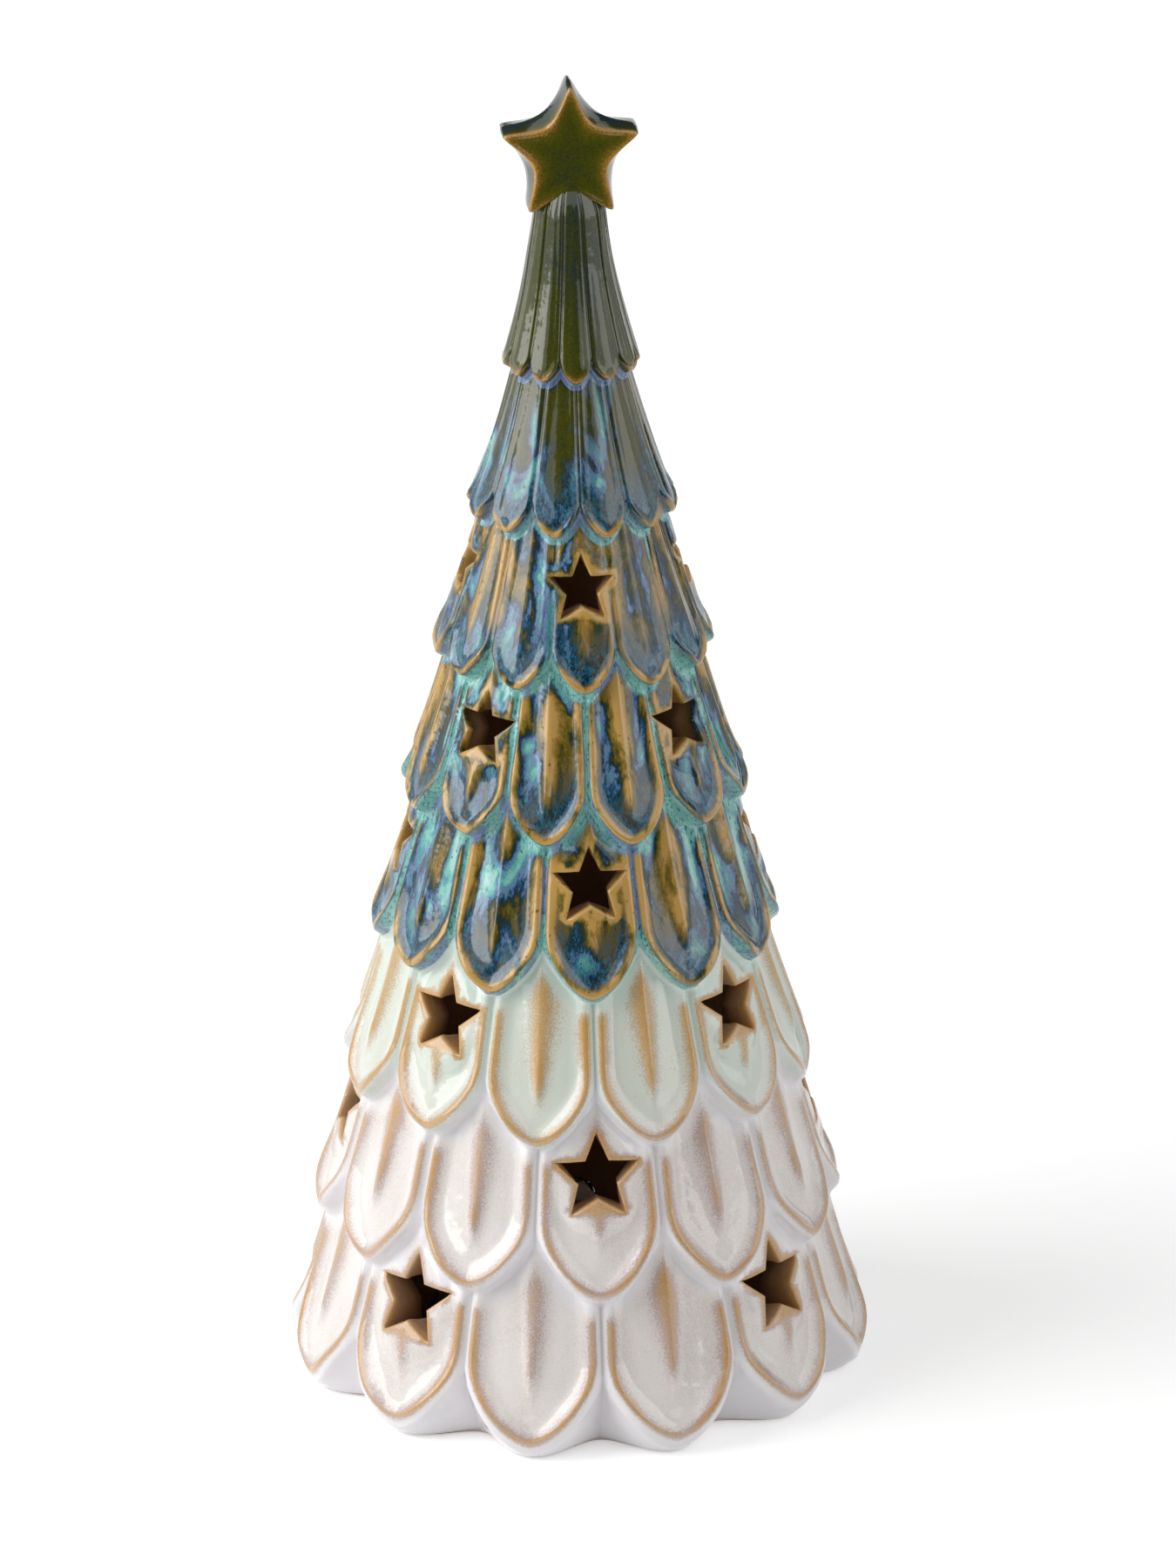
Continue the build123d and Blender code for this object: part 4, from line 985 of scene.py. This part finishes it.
class Shader:
    """The nodes of a material or of the world, put together one at a time."""

    def __init__(self, owner, surface="Principled BSDF"):
        owner.use_nodes = True
        self.owner = owner
        self.tree = owner.node_tree
        self.surface = self.tree.nodes[surface]
        self.coordinates = self.tree.nodes.new("ShaderNodeTexCoord").outputs["Object"]

    def node(self, kind, inputs=(), **settings):
        made = self.tree.nodes.new("ShaderNode" + kind)
        for name, value in settings.items():
            setattr(made, name, value)
        for socket, value in dict(inputs).items():
            self.feed(made.inputs[socket], value)
        return made

    def feed(self, socket, value):
        if isinstance(value, bpy.types.NodeSocket):
            self.tree.links.new(value, socket)
        else:
            socket.default_value = value

    def set(self, **inputs):
        for name, value in inputs.items():
            self.feed(self.surface.inputs[name.replace("_", " ")], value)

    def mark(self, name):
        return self.node("Attribute", attribute_name=name).outputs["Fac"]

    def math(self, operation, first, second=0.0, third=0.0):
        inputs = {0: first, 1: second, 2: third}
        return self.node("Math", inputs, operation=operation).outputs[0]

    def times(self, first, *others):
        for other in others:
            first = self.math("MULTIPLY", first, other)
        return first

    def swing(self, value):
        """How far a value from 0 to 1 lies from its middle."""
        return self.math("SUBTRACT", value, 0.5)

    def weighed(self, weights, base, **parts):
        """The base with each part added by its weight."""
        for name, value in parts.items():
            base = self.math("MULTIPLY_ADD", value, weights[name], base)
        return base

    def ramp(self, value, low, high, start=0.0, end=1.0):
        inputs = {"Value": value, "From Min": low, "From Max": high, "To Min": start, "To Max": end}
        return self.node("MapRange", inputs, interpolation_type="SMOOTHSTEP").outputs[0]

    def noise(self, scale, detail, squeeze=1.0, shift=0.0, roughness=0.5, distortion=0.0):
        inputs = {"Vector": self.coordinates, "Scale": (1.0, 1.0, squeeze), "Location": (shift, shift, shift)}
        moved = self.node("Mapping", inputs).outputs[0]
        inputs = {"Scale": scale, "Detail": detail, "Roughness": roughness, "Distortion": distortion}
        inputs["Vector"] = moved
        return self.node("TexNoise", inputs).outputs["Fac"]

    def mix(self, share, first, second):
        inputs = {0: share, 6: first, 7: second}
        return self.node("Mix", inputs, data_type="RGBA").outputs[2]

    def gradient(self, value, stops):
        made = self.node("ValToRGB", {"Fac": value})
        elements = made.color_ramp.elements
        while len(elements) < len(stops):
            elements.new(1.0)
        for element, (place, *tint) in zip(elements, stops):
            element.position = place
            element.color = colour(*tint)
        return made.outputs["Color"]

    def bump(self, height, distance, strength=1.0):
        inputs = {"Height": height, "Distance": distance, "Strength": strength}
        self.set(Normal=self.node("Bump", inputs).outputs[0])

    def seen_directly(self):
        """1 for rays straight from the camera, off gloss or through glass, and 0 for other light."""
        path = self.node("LightPath").outputs
        seen = self.math("MAXIMUM", path["Is Camera Ray"], path["Is Glossy Ray"])
        return self.math("MAXIMUM", seen, path["Is Transmission Ray"])

    def speckle(self, roughness, scale=SPECKLE_SCALE, depth=SPECKLE_DEPTH):
        """Sets an uneven roughness and surface, and gives the patches that they follow."""
        patches = self.noise(scale, SPECKLE_DETAIL)
        least, most = roughness * (1 - ROUGHNESS_SPREAD), roughness * (1 + ROUGHNESS_SPREAD)
        self.set(Roughness=self.ramp(patches, *SPECKLE_RANGE, least, most))
        self.bump(patches, depth)
        return patches


class Glaze(Shader):
    """Reactive glaze, whose colour follows its thickness: tan where it thins, paler where it gathers."""

    def __init__(self):
        super().__init__(bpy.data.materials.new("reactive_glaze"))
        self.ridge, self.bead, self.inner = map(self.mark, ("ridge", "bead", "inner"))
        self.flow, self.patch, self.grain = self.noise(*FLOW), self.noise(*PATCH), self.noise(*GRAIN)
        self.runs, self.patches = self.swing(self.flow), self.swing(self.patch)
        self.place = self.weighed(PLACE_SHIFT, self.mark("stage"), runs=self.runs)

    def thickness(self):
        """How thick the coloured glaze lies."""
        petal = self.swing(self.mark("petal"))
        lower_rows = self.ramp(self.place, *LOWER_ROWS)
        causes = {"runs": self.runs, "patches": self.patches, "petal": petal, "lower_rows": lower_rows}
        thickness = self.weighed(THICKNESS, THICKNESS["mean"], **causes)
        thickness = self.math("SMOOTH_MAX", thickness, THINNEST, THIN_ROUNDING)
        return self.weighed(THICKNESS, thickness, grain=self.swing(self.grain), ridge=self.ridge)

    def calm(self):
        """How thick the olive and pale glazes lie."""
        causes = {"stipple": self.swing(self.noise(*STIPPLE)), "runs": self.runs, "patches": self.patches}
        return self.weighed(CALM, CALM["mean"], **causes, bead=self.bead, ridge=self.ridge)

    def drip(self):
        """Colour of the opaque drips: lilac in the upper rows and turquoise below them."""
        green = self.times(self.ramp(self.flow, *GREEN_FLOW), self.ramp(self.place, *LILAC_TO_GREEN))
        drip = self.mix(green, LILAC, TURQUOISE)
        return self.mix(self.ramp(self.grain, *DRIP_GRAIN), TEAL, drip)

    def rows(self):
        """Colours down the tree."""
        calm, drip = self.calm(), self.drip()
        olive = self.mix(self.ramp(self.bead, *OLIVE_DRIP), self.gradient(calm, OLIVE), drip)
        drips = self.ramp(self.weighed(DRIP_SHIFT, self.bead, runs=self.runs), *DRIP_EDGE)
        blue = self.mix(drips, self.gradient(self.thickness(), BLUE), drip)
        celadon, cream = self.gradient(calm, CELADON), self.gradient(calm, CREAM)
        coat = self.mix(self.ramp(self.place, *CREAM_TO_CELADON), cream, celadon)
        coat = self.mix(self.ramp(self.place, *CELADON_TO_BLUE), coat, blue)
        top = self.weighed(OLIVE_SHIFT, self.place, patches=self.patches, runs=self.runs)
        return self.mix(self.ramp(top, *BLUE_TO_OLIVE), coat, olive)

    def with_pools(self, coat):
        """A coat with deep pools at the petals' tips and dark specks, both in the coloured rows."""
        middle = self.times(self.ramp(self.place, *CELADON_TO_BLUE), self.ramp(self.place, *OLIVE_TO_POOLS))
        pooled = self.times(self.ramp(self.mark("run"), *POOL_RUN), self.math("SUBTRACT", 1.0, self.bead))
        pooled = self.times(pooled, self.ramp(self.ridge, *POOL_RIDGE))
        deep = self.mix(self.ramp(self.grain, *POOL_MOTTLE), DEEP_BLUE, DEEP_TEAL)
        coat = self.mix(self.times(middle, POOL_SHARE, pooled), coat, deep)
        specks = self.ramp(self.noise(*SPECKS), *SPECK_EDGE)
        return self.mix(self.times(middle, SPECK_SHARE, specks), coat, SPECK)


def glaze_material():
    """The glaze over the casting, with bare clay inside it and under its foot."""
    glaze = Glaze()
    clay = glaze.mix(glaze.ramp(glaze.patch, *CLAY_PATCH), CLAY, PALE_CLAY)
    coat = glaze.mix(glaze.ramp(glaze.inner, *CLAY_EDGE), glaze.with_pools(glaze.rows()), clay)
    waves = glaze.times(glaze.noise(*WAVES), WAVE_HEIGHT)
    glaze.bump(glaze.math("MULTIPLY_ADD", glaze.grain, GRAIN_HEIGHT, waves), WAVE_DISTANCE, WAVE_STRENGTH)
    glaze.set(Base_Color=coat, Roughness=glaze.ramp(glaze.inner, *GLAZE_ROUGHNESS), IOR=GLAZE_IOR)
    return glaze.owner


def speckled(name, base, shade, roughness, metallic=0.0, scale=SPECKLE_SCALE, depth=SPECKLE_DEPTH):
    """A plain finish whose colour and roughness vary a little."""
    finish = Shader(bpy.data.materials.new(name))
    share = finish.times(finish.speckle(roughness, scale, depth), SPECKLE_SHARE)
    finish.set(Base_Color=finish.mix(share, base, shade), Metallic=metallic)
    return finish


def cell_material():
    """Plain battery sleeve: gold in the middle, dark towards both ends, and bare metal past them."""
    finish = Shader(bpy.data.materials.new("cell_sleeve"))
    finish.speckle(CELL_ROUGHNESS)
    along = finish.node("SeparateXYZ", {0: finish.coordinates}).outputs["X"]
    from_middle = finish.math("ABSOLUTE", along)
    sleeve = finish.ramp(from_middle, *CELL_SLEEVE_EDGE)
    wrap = finish.mix(finish.ramp(from_middle, *CELL_BAND_EDGE), CELL_DARK, CELL_GOLD)
    finish.set(Base_Color=finish.mix(sleeve, CELL_METAL, wrap))
    finish.set(Metallic=finish.math("SUBTRACT", 1.0, sleeve))
    return finish


def lens_material():
    """Clear cast epoxy."""
    finish = speckled("lens_epoxy", *LENS)
    finish.set(Transmission_Weight=1.0, IOR=LENS_IOR)
    return finish


def dress_plug():
    """Gives the lamp plug's nodes their slots' finishes."""
    finishes = {slot: speckled(slot, *settings) for slot, settings in FINISHES.items()}
    finishes.update({"cell": cell_material(), "lens": lens_material()})
    for subpart in frame["record"]["subparts"]:
        if subpart["material_slot"] in finishes:
            mesh = frame["nodes"][subpart["node"]].data
            mesh.materials.clear()
            mesh.materials.append(finishes[subpart["material_slot"]].owner)


def place_camera():
    """The photo's camera, fitted to the petals' tips."""
    turn = Matrix.Rotation(math.radians(CAMERA_TURN), 3, "Z")
    place = turn @ Vector(CAMERA_PLACE)
    ahead = (turn @ Vector(CAMERA_AIM) - place).normalized()
    right = ahead.cross(Vector((0.0, 0.0, 1.0))).normalized()
    right = Matrix.Rotation(math.radians(-CAMERA_ROLL), 3, ahead) @ right
    up = right.cross(ahead)
    data = bpy.data.cameras.new("photo_camera")
    data.lens = CAMERA_LENS
    data.sensor_fit = "VERTICAL"
    data.sensor_height = SENSOR_HEIGHT
    camera = in_scene("photo_camera", data)
    axes = Matrix((right, up, -ahead)).transposed().to_4x4()
    camera.matrix_world = Matrix.Translation(place) @ axes
    bpy.context.scene.camera = camera


def flat_sheet(name, size_x, size_y, finish):
    half_x, half_y = size_x / 2, size_y / 2
    corners = [(-half_x, -half_y, 0), (half_x, -half_y, 0), (half_x, half_y, 0), (-half_x, half_y, 0)]
    mesh = bpy.data.meshes.new(name)
    mesh.from_pydata(corners, [], [(0, 1, 2, 3)])
    mesh.materials.append(finish)
    return in_scene(name, mesh)


def soft_light(name, place, size, power):
    data = bpy.data.lights.new(name, "AREA")
    data.size = size
    data.energy = power
    light = in_scene(name, data)
    light.location = place
    light.rotation_euler = (Vector(LIGHT_TARGET) - Vector(place)).to_track_quat("-Z", "Y").to_euler()


def make_floor():
    """White paper that keeps the shadow, and looks white without more light on the tree; near the tree it
    glows less, as painted shade.
    """
    paper = speckled("floor_paper_with_painted_shade", *PAPER)
    paper.set(Specular_IOR_Level=0.0)
    position = paper.node("NewGeometry").outputs["Position"]
    away = paper.node("VectorMath", {0: position}, operation="LENGTH").outputs["Value"]
    # Glow rises with distance from the tree: painted shade on the floor near the foot, white far off
    reach = {"From Min": GLOW_NEAR, "From Max": GLOW_FAR, "To Min": NEAR_GLOW_PAINTED_SHADE, "To Max": FAR_GLOW}
    painted_shade_glow = paper.node("MapRange", {"Value": away, **reach}).outputs[0]
    strength = paper.times(paper.seen_directly(), painted_shade_glow)
    glow = paper.node("Emission", {"Color": WHITE, "Strength": strength})
    both = paper.node("AddShader", {0: paper.surface.outputs[0], 1: glow.outputs[0]})
    paper.feed(paper.tree.nodes["Material Output"].inputs["Surface"], both.outputs[0])
    floor = flat_sheet("floor", FLOOR_SIZE, FLOOR_SIZE, paper.owner)
    floor.location.z = -FLOOR_GAP


def make_flag(name, size, place, turns):
    """Dark card that only gloss shows."""
    flag = flat_sheet(name, *size, speckled(name + "_card", *CARD).owner)
    flag.location = place
    flag.rotation_euler = [math.radians(turn) for turn in turns]
    flag.visible_camera = flag.visible_diffuse = flag.visible_shadow = False


def make_studio():
    """The floor, the dark cards, the lamps, and a white sky that lights less than it shows."""
    make_floor()
    for name, settings in FLAGS.items():
        make_flag(name, *settings)
    for name, settings in LIGHTS.items():
        soft_light(name, *settings)
    world = bpy.data.worlds.new("studio")
    bpy.context.scene.world = world
    sky = Shader(world, "Background")
    strength = sky.node("MapRange", {"Value": sky.seen_directly(), "To Min": SKY_STRENGTH})
    sky.set(Color=WHITE, Strength=strength.outputs[0])


tree = make_tree()
tree.data.materials.append(glaze_material())
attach(tree, "tree")
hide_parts("tree_shell")
dress_plug()
make_studio()
place_camera()
bpy.context.scene.view_settings.view_transform = "Standard"
